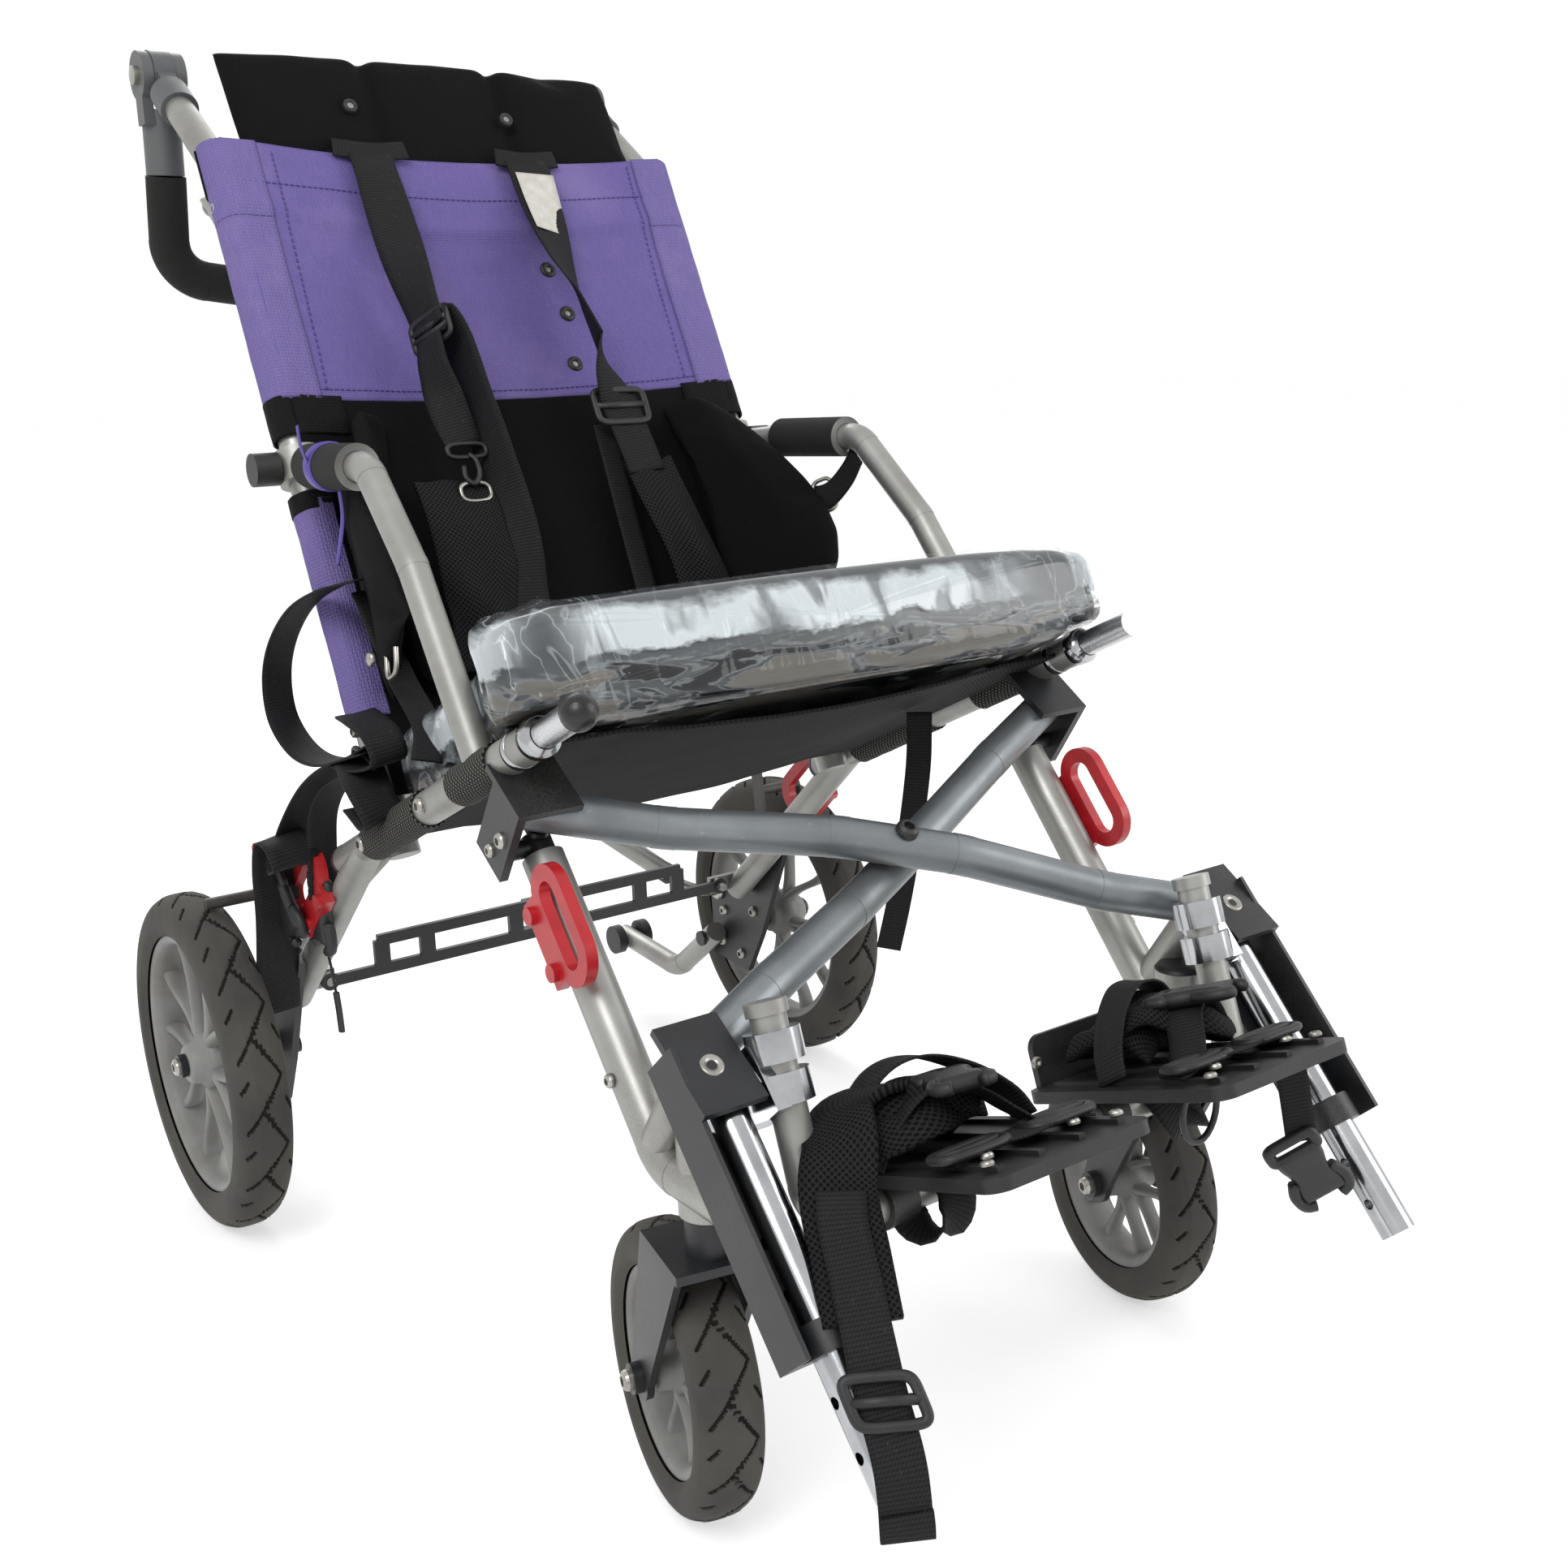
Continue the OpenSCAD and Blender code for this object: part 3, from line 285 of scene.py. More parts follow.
def ribs(m, uv, u, v):
    """Strap webbing: close ribs across and a slanted thread."""
    rib = m.abs(m.sine(m.mul(v, math.pi / 0.0026)))
    slant = m.abs(m.sine(m.add(m.mul(u, math.pi / 0.0022), m.mul(v, math.pi / 0.0036))))
    h = m.add(m.mul(rib, 0.6), m.mul(slant, 0.4))
    return h, m.ramp(h, 0.15, 0.95)


def holes(m, uv, u, v, pitch=0.0042):
    """Spacer mesh: staggered round holes in a knit."""
    a, b = (m.sine(m.mul(t, math.pi / pitch)) for t in (m.add(u, v), m.sub(u, v)))
    h = m.sub(1.0, m.ramp(m.abs(m.mul(a, b)), 0.35, 0.7))
    return h, h


FUZZ, DUST = (900.0, 3.0, 0.6, 0.85, 0.3, "#54524d"), (240.0, 4.0, 0.62, 0.8, 0.35, "#6a675f")
M_TUBE = metal_tube("silver_tube", "#a7a7a3", "#8f8e8a", 0.40, 0.62)
M_CROSS = metal_tube("blue_grey_tube", "#8b9093", "#74797c", 0.40, 0.6)
M_CHROME = worn("chrome_tube", "#b6b8ba", "#9c9ea1", 0.15, 1.0, 30.0, 700.0, 0.03, 0.1)
M_STEEL = worn("bright_bolts", "#b5b3ad", "#8d8a83", 0.34, 0.9, 60.0, 900.0, 0.08, 0.16, dirt="#5d564a")
M_BLACK = worn("black_coat", "#17181a", "#222326", 0.42, 0.0, 20.0, 650.0, 0.14, 0.16, dirt="#57534b")
M_PLASTIC = worn("black_moulded", "#141416", "#1f2022", 0.5, 0.0, 34.0, 1100.0, 0.25, 0.14, dirt="#4b4842")
M_GREY = worn("grey_moulded", "#5f6264", "#53565a", 0.46, 0.0, 30.0, 1100.0, 0.2, 0.12, dirt="#7d7a72")
M_RIM = worn("rim_moulded", "#8f8f8c", "#7c7b78", 0.52, 0.0, 22.0, 900.0, 0.2, 0.14, dirt="#5f574a")
M_RED = worn("red_coat", "#c3202b", "#ad1822", 0.33, 0.0, 40.0, 500.0, 0.1, 0.14, dirt="#8a5348")
# painted shade: near-black rubber for the faces in the tread grooves
M_GROOVE_SHADE = worn("tyre_groove", "#1b1a18", "#25231f", 0.9, 0.0, 30.0, 900.0, 0.3, 0.08, 0.2)
M_RUBBER = worn("tyre_rubber", "#434240", "#54524c", 0.82, 0.0, 18.0, 1300.0, 0.35, 0.14, 0.3, dirt="#6e685d")
M_PURPLE = weave("purple_canvas", "#8274b5", "#675999", 0.0021, 0.78, 0.6, fade="#9888bd")
# painted sheen: a lighter, pinker copy of the purple canvas for the sleeves round the posts
M_EDGE_SHEEN = weave("purple_edge", "#9082bd", "#7466a5", 0.0028, 0.8, 0.8, fade="#b09bc6")
M_TRIM = worn("purple_rubber", "#5b49a5", "#4d3d92", 0.5, 0.0, 60.0, 900.0, 0.15, 0.12)
M_CLOTH = weave("black_cloth", "#141415", "#080809", 0.0013, 0.88, 0.45, spec=0.14)
M_BAND = weave("black_band", "#1c1c1e", "#0a0a0b", 0.0026, 0.82, 0.7, spec=0.18)
M_MESH = on_uv("black_mesh", "#272729", "#050505", 0.82, 0.14, holes, 0.7, 0.0008, FUZZ)
M_SLEEVE = on_uv("sleeve_mesh", "#232322", "#6d6c66", 0.82, 0.14, holes, 0.7, 0.0008, FUZZ)
M_WEB = on_uv("black_webbing", "#262628", "#080809", 0.74, 0.22, ribs, 0.55, 0.0006, DUST)
M_THREAD = worn("purple_thread", "#5a4c95", "#4a3d84", 0.8, 0.0, 200.0, 2500.0, 0.3, 0.1)
M_THREAD_K = worn("black_thread", "#2a2a2c", "#1c1c1e", 0.8, 0.0, 200.0, 2500.0, 0.3, 0.1)
M_PLAIN = worn("bare_label", "#d9d6cf", "#c9c5bc", 0.7, 0.0, 120.0, 1600.0, 0.2, 0.1)
M_VINYL = worn("grey_vinyl", "#363b3e", "#2b3033", 0.30, 0.10, 7.0, 1500.0, 0.06, 0.10)
M_VINYL.coat(0.55, 0.12)


def film():
    """Clear crinkled wrap: thin and glossy, with painted highlight streaks along its creases, a painted reflection in a
    band across the upper front, and painted dark reflections low down among greyish tan patches.
    """
    m = Mat("clear_wrap", "#eef2f4", 0.07)
    o = m.coord()
    up = Vector((0, S(TILT), C(TILT)))
    zero = seat(0, 0, 0).dot(up)
    a = m.noise(o, (34.0, 14.0, 12.0), 2.5, 0.45, 1.1)
    # painted highlights: white, more opaque streaks along the creases, stronger towards the ends
    fold = m.ramp(m.abs(m.sub(a, 0.5)), 0.0, 0.02, 1.0, 0.0)
    ends = m.ramp(m.abs(m.split(o)[0]), 0.13, 0.25, 0.15, 1.0)
    # painted reflection: a white, more opaque band with ragged edges across the upper front, in broad patches
    rag = m.noise(o, (26.0, 30.0, 60.0), 4.0, 0.6)
    high = m.add(m.along(up), m.mul(m.sub(rag, 0.5), 0.030))
    band = m.mul(m.ramp(high, zero + 0.038, zero + 0.042), m.ramp(high, zero + 0.064, zero + 0.074, 1.0, 0.0))
    wide = m.ramp(m.noise(o, (5.5, 3.0, 3.0), 1.5), 0.40, 0.47)
    painted_reflection = m.mul(m.mul(band, wide), m.ramp(a, 0.36, 0.46, 0.35, 1.0))
    # painted dark reflections low down on the front, in pools, beside greyish tan patches
    under = m.ramp(high, zero + 0.028, zero + 0.033, 1.0, 0.0)
    pool = m.noise(o, (13.0, 13.0, 70.0), 3.0, 0.5, 0.6)
    tan = m.mul(under, m.ramp(pool, 0.50, 0.53))
    dark_reflection = m.mul(under, m.ramp(pool, 0.43, 0.46, 1.0, 0.0))
    m.set("Base Color", m.mix(dark_reflection, m.mix(tan, lin("#eaf3f7"), lin("#8f8a80")), lin("#101214")))
    bright = m.add(m.mul(m.mul(fold, ends), 0.30), m.mul(painted_reflection, 0.72))
    more = m.add(m.mul(tan, 0.42), m.mul(dark_reflection, 0.60))
    m.set("Alpha", m.add(0.035, m.add(bright, more)))
    m.bump(m.ramp(a, 0.3, 0.72), 0.30, 0.004)
    m.coat(0.35, 0.04)
    return m


M_FILM = film()


def paint(o, m):
    o.data.materials.clear()
    o.data.materials.append(m.m)


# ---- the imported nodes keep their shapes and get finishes
STUB_AT, PLUG_AT = (seat(0, a, 0).dot(RD) for a in (322, 371))
FAR = 9.0
FOAM = ("#191817", 0.95, 0.0, 1500.0, "#31302e")
ELBOW_Z = jp("left_handle_hinge").z
KNOB_Y = jp("left_knob_turn").y
M_RAIL, M_RAIL_R = (two_zone(name, RD, STUB_AT, FAR, ("#c6c8ca", 0.2, 1.0, 700.0, "#a9abad"),
                             ("#9d9d99", 0.4, 0.62)) for name in ("rail_and_stub", "rail_and_plug"))
plug = M_RAIL_R.zone(RD, PLUG_AT, FAR)
M_RAIL_R.set("Base Color", M_RAIL_R.mix(plug, M_RAIL_R.now("Base Color"), lin("#141415")))
M_RAIL_R.set("Metallic", M_RAIL_R.mul(M_RAIL_R.now("Metallic"), M_RAIL_R.sub(1.0, plug)))
M_HANDLE = two_zone("handle_and_foam", (0, 0, 1), 0.0, ELBOW_Z - 0.081, FOAM, ("#5c5f61", 0.46, 0.0))
M_ARM = two_zone("arm_and_foam", (0, 1, 0), KNOB_Y - 0.1535, KNOB_Y - 0.062, FOAM, ("#a3a39f", 0.4, 0.62))
M_LEVER = two_zone("lever_and_peg", (0, 0, 1), 0.316, 0.9, ("#c3202b", 0.4, 0.0, 700.0, "#a81a24"),
                   ("#1a1b1d", 0.45, 0.0))
FINISH = {node: mat for mat, nodes in (
    (M_RAIL, "side_frame"), (M_ARM, "armrest"), (M_HANDLE, "push_handle"), (M_LEVER, "brake_lever"),
    (M_TUBE, "back_post front_leg footrest_arm anti_tip_arm back_brace"), (M_CHROME, "hanger_tube"),
    (M_CROSS, "cross_tube_a cross_tube_b"), (M_PLASTIC, "arm_knob footplate anti_tip_rollers"),
    (M_BLACK, "rail_bracket axle_plate hanger_bracket caster_fork spreader"), (M_GREY, "handle_elbow"),
    (M_RED, "rear_tie_loop front_tie_loop"), (M_STEEL, "handle_button"), (M_RIM, "caster_rim rear_rim"),
    (M_RUBBER, "caster_tyre rear_tyre"), (M_MESH, "seat_sling"), (M_VINYL, "seat_cushion"),
    (M_PURPLE, "back_sling"), (M_CLOTH, "head_panel side_pads"), (M_WEB, "harness")) for node in nodes.split()}
for name, o in NODES.items():
    paint(o, FINISH[name.replace("right_", "").replace("left_", "")])
paint(NODES["right_side_frame"], M_RAIL_R)

# ---- camera, light and floor
scene = bpy.context.scene
cam = bpy.data.cameras.new("camera")
cam.sensor_width, cam.lens, cam.clip_start = 36.0, 39.48, 0.05
cam.shift_x, cam.shift_y = -0.0160, -0.0083
cam_o = bpy.data.objects.new("camera", cam)
scene.collection.objects.link(cam_o)
az, el, bank = RAD(-36.42), RAD(13.82), RAD(-1.39)
to_cam = Vector((S(az) * C(el), -C(az) * C(el), S(el)))
right = (-to_cam).cross(Vector((0, 0, 1))).normalized()
above = right.cross(-to_cam)
right, above = C(bank) * right + S(bank) * above, -S(bank) * right + C(bank) * above
cam_o.matrix_world = Matrix.Translation(P(-707, -1208, 730)) @ Matrix((right, above, to_cam)).transposed().to_4x4()
scene.camera = cam_o
scene.view_settings.view_transform = "Standard"


def lamp(name, pos, target, size, power):
    d = bpy.data.lights.new(name, "AREA")
    d.shape, d.size, d.energy = "DISK", size, power
    o = bpy.data.objects.new(name, d)
    scene.collection.objects.link(o)
    o.location = pos
    o.rotation_euler = (Vector(target) - Vector(pos)).to_track_quat("-Z", "Y").to_euler()


lamp("key", (-1.9, -1.5, 2.6), (0, 0, 0.5), 1.6, 42)
lamp("fill", (2.3, -1.9, 1.5), (0, 0, 0.5), 1.8, 24)
lamp("rim", (0.5, 2.4, 2.2), (0, 0, 0.6), 1.6, 28)


def node(tree, kind, *ins):
    """A shader node with its first inputs set or linked in order."""
    n = tree.nodes.new("ShaderNode" + kind)
    for v, sock in zip(ins, n.inputs):
        wire(tree, v, sock)
    return n.outputs[0]


def straight(tree):
    """1 for camera, glossy and transmission rays, so that metal and film see the white room too."""
    rays = tree.nodes.new("ShaderNodeLightPath").outputs
    seen = rays["Is Camera Ray"]
    for kind in ("Is Glossy Ray", "Is Transmission Ray"):
        seen = node(tree, "Math", seen, rays[kind])
        seen.node.operation = "MAXIMUM"
    return seen


WHITE, NO_LIGHT = (1.0, 1.0, 1.0, 1.0), (0.0, 0.0, 0.0, 1.0)
scene.world = bpy.data.worlds.new("studio")
scene.world.use_nodes = True
wt = scene.world.node_tree
room, shown = node(wt, "Background", WHITE, 0.62), node(wt, "Background", WHITE, 1.0)
wt.links.new(node(wt, "MixShader", straight(wt), room, shown), wt.nodes["World Output"].inputs[0])

floor_mat = bpy.data.materials.new("pale_floor")
floor_mat.use_nodes = True
ft = floor_mat.node_tree
matt = ft.nodes["Principled BSDF"]
matt.inputs["Base Color"].default_value = (0.80, 0.80, 0.80, 1)
matt.inputs["Roughness"].default_value = 0.95
matt.inputs["Specular IOR Level"].default_value = 0.0
glow = node(ft, "MixShader", straight(ft), node(ft, "Emission", NO_LIGHT, 0.0), node(ft, "Emission", WHITE, 0.50))
ft.links.new(node(ft, "AddShader", matt.outputs[0], glow), ft.nodes["Material Output"].inputs[0])
bpy.ops.mesh.primitive_plane_add(size=60, location=(0, 0, -0.0004))
floor = bpy.context.object
floor.name = "floor"
floor.data.materials.append(floor_mat)


# ---- mesh helpers
def steps(a, axis):
    return np.linalg.norm(np.diff(a, axis=axis), axis=-1)


def unit_rows(a):
    return a / np.linalg.norm(a, axis=1)[:, None]


def net(fn, nu, nv):
    """Rows of fn(u, v), with u and v from 0 to 1."""
    return [[fn(i / nu, j / nv) for i in range(nu + 1)] for j in range(nv + 1)]


def grid(name, pts, mat, wrap_u=False, wrap_v=False):
    """A surface through pts[v][u], in metres; its UVs follow it, in metres."""
    p = np.asarray(pts, float)
    nv, nu = p.shape[:2]
    q = np.concatenate([p, p[:, :1]], 1) if wrap_u else p
    q = np.concatenate([q, q[:1]], 0) if wrap_v else q
    us, vs = (np.concatenate([[0], np.cumsum(steps(q, ax).mean(1 - ax))]) for ax in (1, 0))
    uv = np.stack(np.meshgrid(us, vs), -1)
    i, j = (k.ravel() for k in np.meshgrid(np.arange(nu if wrap_u else nu - 1), np.arange(nv if wrap_v else nv - 1)))
    i2, j2 = (i + 1) % nu, (j + 1) % nv
    faces = np.stack([j * nu + i, j * nu + i2, j2 * nu + i2, j2 * nu + i], 1)
    loops = np.stack([uv[j, i], uv[j, i + 1], uv[j + 1, i + 1], uv[j + 1, i]], 1)
    me = bpy.data.meshes.new(name)
    me.from_pydata(p.reshape(-1, 3).tolist(), [], faces.tolist())
    me.uv_layers.new(name="UVMap").data.foreach_set("uv", loops.astype(np.float32).ravel())
    me.update()
    me.shade_smooth()
    o = bpy.data.objects.new(name, me)
    scene.collection.objects.link(o)
    paint(o, mat)
    return o


def rework(o, change):
    bm = bmesh.new()
    bm.from_mesh(o.data)
    change(bm)
    bm.to_mesh(o.data)
    bm.free()
    return o


def close(bm):
    return bmesh.ops.holes_fill(bm, edges=[e for e in bm.edges if e.is_boundary])["faces"]


def shaped(o, kind, **settings):
    """Applies one modifier."""
    m = o.modifiers.new(kind, kind)
    for k, v in settings.items():
        setattr(m, k, v)
    bpy.context.view_layer.update()
    dg = bpy.context.evaluated_depsgraph_get()
    me = bpy.data.meshes.new_from_object(o.evaluated_get(dg), preserve_all_data_layers=True, depsgraph=dg)
    o.modifiers.clear()
    o.data = me
    me.shade_smooth()
    return o


def thick(o, t):
    return shaped(o, "SOLIDIFY", thickness=t, offset=0.0)


def smooth_up(o):
    return shaped(o, "SUBSURF", levels=1, render_levels=1)


def join(name, objs):
    """One object out of several, by hand, so that each keeps its material slot."""
    bm = bmesh.new()
    mats = []
    for o in objs:
        start = len(bm.faces)
        bm.from_mesh(o.data)
        bm.faces.ensure_lookup_table()
        own = list(o.data.materials)
        mats += [m for m in own if m not in mats]
        for f in bm.faces[start:]:
            f.material_index = mats.index(own[min(f.material_index, len(own) - 1)])
    me = bpy.data.meshes.new(name)
    bm.to_mesh(me)
    bm.free()
    for m in mats:
        me.materials.append(m)
    for o in objs:
        bpy.data.objects.remove(o)
    o = bpy.data.objects.new(name, me)
    scene.collection.objects.link(o)
    return o


def curve_pts(ctrl, step=0.004):
    """Points along a smooth line through the control points, about one step apart."""
    p = [np.array(c, float) for c in ctrl]
    p = [2 * p[0] - p[1]] + p + [2 * p[-1] - p[-2]]
    out = []
    for a, b, c, d in zip(p, p[1:], p[2:], p[3:]):
        n = max(2, int(np.linalg.norm(c - b) / step))
        for t in np.arange(n) / n:
            out.append(0.5 * (2 * b + (c - a) * t + (2 * a - 5 * b + 4 * c - d) * t * t
                              + (3 * b - a - 3 * c + d) * t ** 3))
    out.append(p[-2])
    return np.array(out)


def ribbon(name, ctrl, across, width, mat, t=0.0016, held="hung", on=(), wave=0.0, seed=0):
    """A flat strap through control points; across is its width direction, for all or for each of them."""
    line = curve_pts(ctrl)
    tan = unit_rows(np.gradient(line, axis=0))
    a = np.array([across] * len(ctrl) if np.ndim(across) == 1 else across, float)
    k = np.linspace(0, len(ctrl) - 1, len(line))
    w = np.stack([np.interp(k, np.arange(len(ctrl)), col) for col in a.T], 1)
    w = unit_rows(w - (w * tan).sum(1)[:, None] * tan)
    cols = np.linspace(-0.5, 0.5, 7)
    bend = np.array([[wave * N3(i * 0.045 + seed * 7.3, c * 1.3, seed) for c in cols] for i in range(len(line))])
    pts = line[:, None] + w[:, None] * (cols * width)[:, None] + np.cross(tan, w)[:, None] * bend[..., None]
    o = thick(grid(name, pts, mat), t)
    float(steps(pts[:, 3], 0).sum())
    return o


def sweep(name, line, r, mat, closed=False, n=12, flat=1.0, up=None):
    """A bar of round or flattened section along a line of points."""
    line = np.array(line, float)
    tan = np.gradient(np.concatenate([line[-2:], line, line[:2]]) if closed else line, axis=0)
    tan = unit_rows(tan[2:-2] if closed else tan)
    ref = np.array(up if up is not None else ((0, 0, 1) if abs(tan[0][2]) < 0.9 else (1, 0, 0)), float)
    th = TAU * np.arange(n) / n
    pts = []
    for c, d in zip(line, tan):
        a = ref - d * ref.dot(d)
        a /= np.linalg.norm(a)
        if up is None:
            ref = a
        pts.append(c + r * (np.outer(np.cos(th) * flat, a) + np.outer(np.sin(th), np.cross(d, a))))
    o = grid(name, pts, mat, wrap_u=True, wrap_v=closed)
    return o if closed else rework(o, close)


def turned(name, rows, pos, axis, mat):
    """Rows of (along, radii all round), in mm, about an axis through pos."""
    q = Vector((0, 0, 1)).rotation_difference(Vector(axis)).to_matrix()
    pts = [[Vector(pos) + q @ Vector((r * C(TAU * i / len(rr)), r * S(TAU * i / len(rr)), z)) / 1000
            for i, r in enumerate(rr)] for z, rr in rows]
    return grid(name, pts, mat, wrap_u=True)


def lathe(name, profile, pos, axis, mat, n=32):
    """A profile of (along, radius), in mm, about an axis through pos."""
    return turned(name, [(z, [r] * n) for z, r in profile], pos, axis, mat)


def bolt(pos, axis, r, h, mat=M_STEEL, n=24):
    """A pan-head screw with a hexagon recess."""
    hexagon = [r * 0.45 / C((TAU * i / n) % (math.pi / 3) - math.pi / 6) for i in range(n)]
    rows = [(h * k, [r * f] * n) for k, f in ((0, 1), (0.45, 1), (0.8, 0.88), (1, 0.66))]
    rows += [(h, hexagon), (h * 0.4, hexagon), (h * 0.4, [0.01] * n)]
    o = turned("bolt", rows, pos, axis, mat)
    o.data.shade_flat()
    return o


def loop_ring(center, wdir, ldir, w, l, bar, mat=M_PLASTIC, flat=1.0, corner=0.35, bars=()):
    """A rounded rectangular wire or moulded frame, with cross bars at shares of its length."""
    wd, ld, c = Vector(wdir).normalized() * w / 2000, Vector(ldir).normalized() * l / 2000, Vector(center)
    how = {"n": 10, "flat": flat, "up": wd.cross(ld).normalized()}
    ring = [c + wd * spow(C(TAU * i / 48), corner) + ld * spow(S(TAU * i / 48), corner) for i in range(48)]
    objs = [sweep("ring", ring, bar / 1000, mat, closed=True, **how)]
    for k in bars:
        m = c + ld * k
        objs.append(sweep("bar", [m - wd, m, m + wd], bar / 1000, mat, **how))
    return objs


def pad(name, fn, nu, nv, t, mat, p, q, dent=None):
    """A stuffed pad: fn(u, v) gives the middle surface and its front normal for u, v in 0..1."""
    def swell(u, v):
        c, n = (np.array(k) for k in fn(u, v))
        h = ((1 - abs(2 * u - 1) ** p) * (1 - abs(2 * v - 1) ** p)) ** (1 / q) * t / 2
        return c, n * (h * dent(u, v) if dent else h)

    mid = net(swell, nu, nv)
    o = join(name, [grid("face", [[c + k * n for c, n in row[::k]] for row in mid], mat) for k in (1, -1)])
    return rework(o, lambda bm: bmesh.ops.remove_doubles(bm, verts=bm.verts, dist=0.0002))


def puff(o, pressure, cap, pin=None, frames=18, stiff=12.0):
    """Lets the cover blow up and crease as cloth, with no gravity; pin(co) says how hard a point is held."""
    g = o.vertex_groups.new(name="pin")
    was = np.array([v.co for v in o.data.vertices])
    for v in o.data.vertices:
        k = pin(v.co) if pin else 0.0
        if k > 0:
            g.add([v.index], k, "REPLACE")
    m = o.modifiers.new("cloth", "CLOTH")
    st = m.settings
    st.quality, st.mass, st.bending_stiffness = 6, 0.25, 0.3
    st.tension_stiffness = st.compression_stiffness = st.shear_stiffness = stiff
    st.use_pressure = True
    st.uniform_pressure_force = pressure
    st.effector_weights.gravity = 0.0
    st.vertex_group_mass = "pin"
    m.point_cache.frame_start, m.point_cache.frame_end = 1, frames
    for f in range(1, frames + 1):
        scene.frame_set(f)
    ev = o.evaluated_get(bpy.context.evaluated_depsgraph_get())
    move = np.array([v.co for v in ev.to_mesh().vertices]) - was
    ev.to_mesh_clear()
    o.modifiers.clear()
    move *= np.minimum(1, cap / np.maximum(np.linalg.norm(move, axis=1), 1e-9))[:, None]
    o.data.vertices.foreach_set("co", (was + move).astype(np.float32).ravel())
    o.data.update()
    scene.frame_set(1)
    return smooth_up(o)


def settle(o, body):
    """The piece rides a body, or with "fold" it rides the right side, on a mesh of its own."""
    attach(o, "right_side" if body == "fold" else body)
    if body == "fold":
        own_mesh(o)
    return o


def cloth(o, body):
    return settle(o, body)


def stuffed(o, body):
    return settle(o, body)


def strap(name, ctrl, across, wide, body, mat=M_WEB, **how):
    """A ribbon of webbing, wide in mm, carried by a body."""
    return settle(ribbon(name, ctrl, across, wide / 1000, mat, **how), body)


def hardware(name, objs, body):
    return settle(join(name, objs), body)


# ---- wheels: treaded tyres with painted shade in the grooves, and rims with paired curved spokes
TREAD = ((0.0, 0.60, 0.74, -0.74), (0.44, -0.20, 1.0, 0.60), (0.02, -0.56, 0.16, -0.80), (0.34, 0.66, 0.52, 0.84))
HUB_HALF, SPOKE_PAIRS, GROOVE_DEEP = 21, 5, 2.0


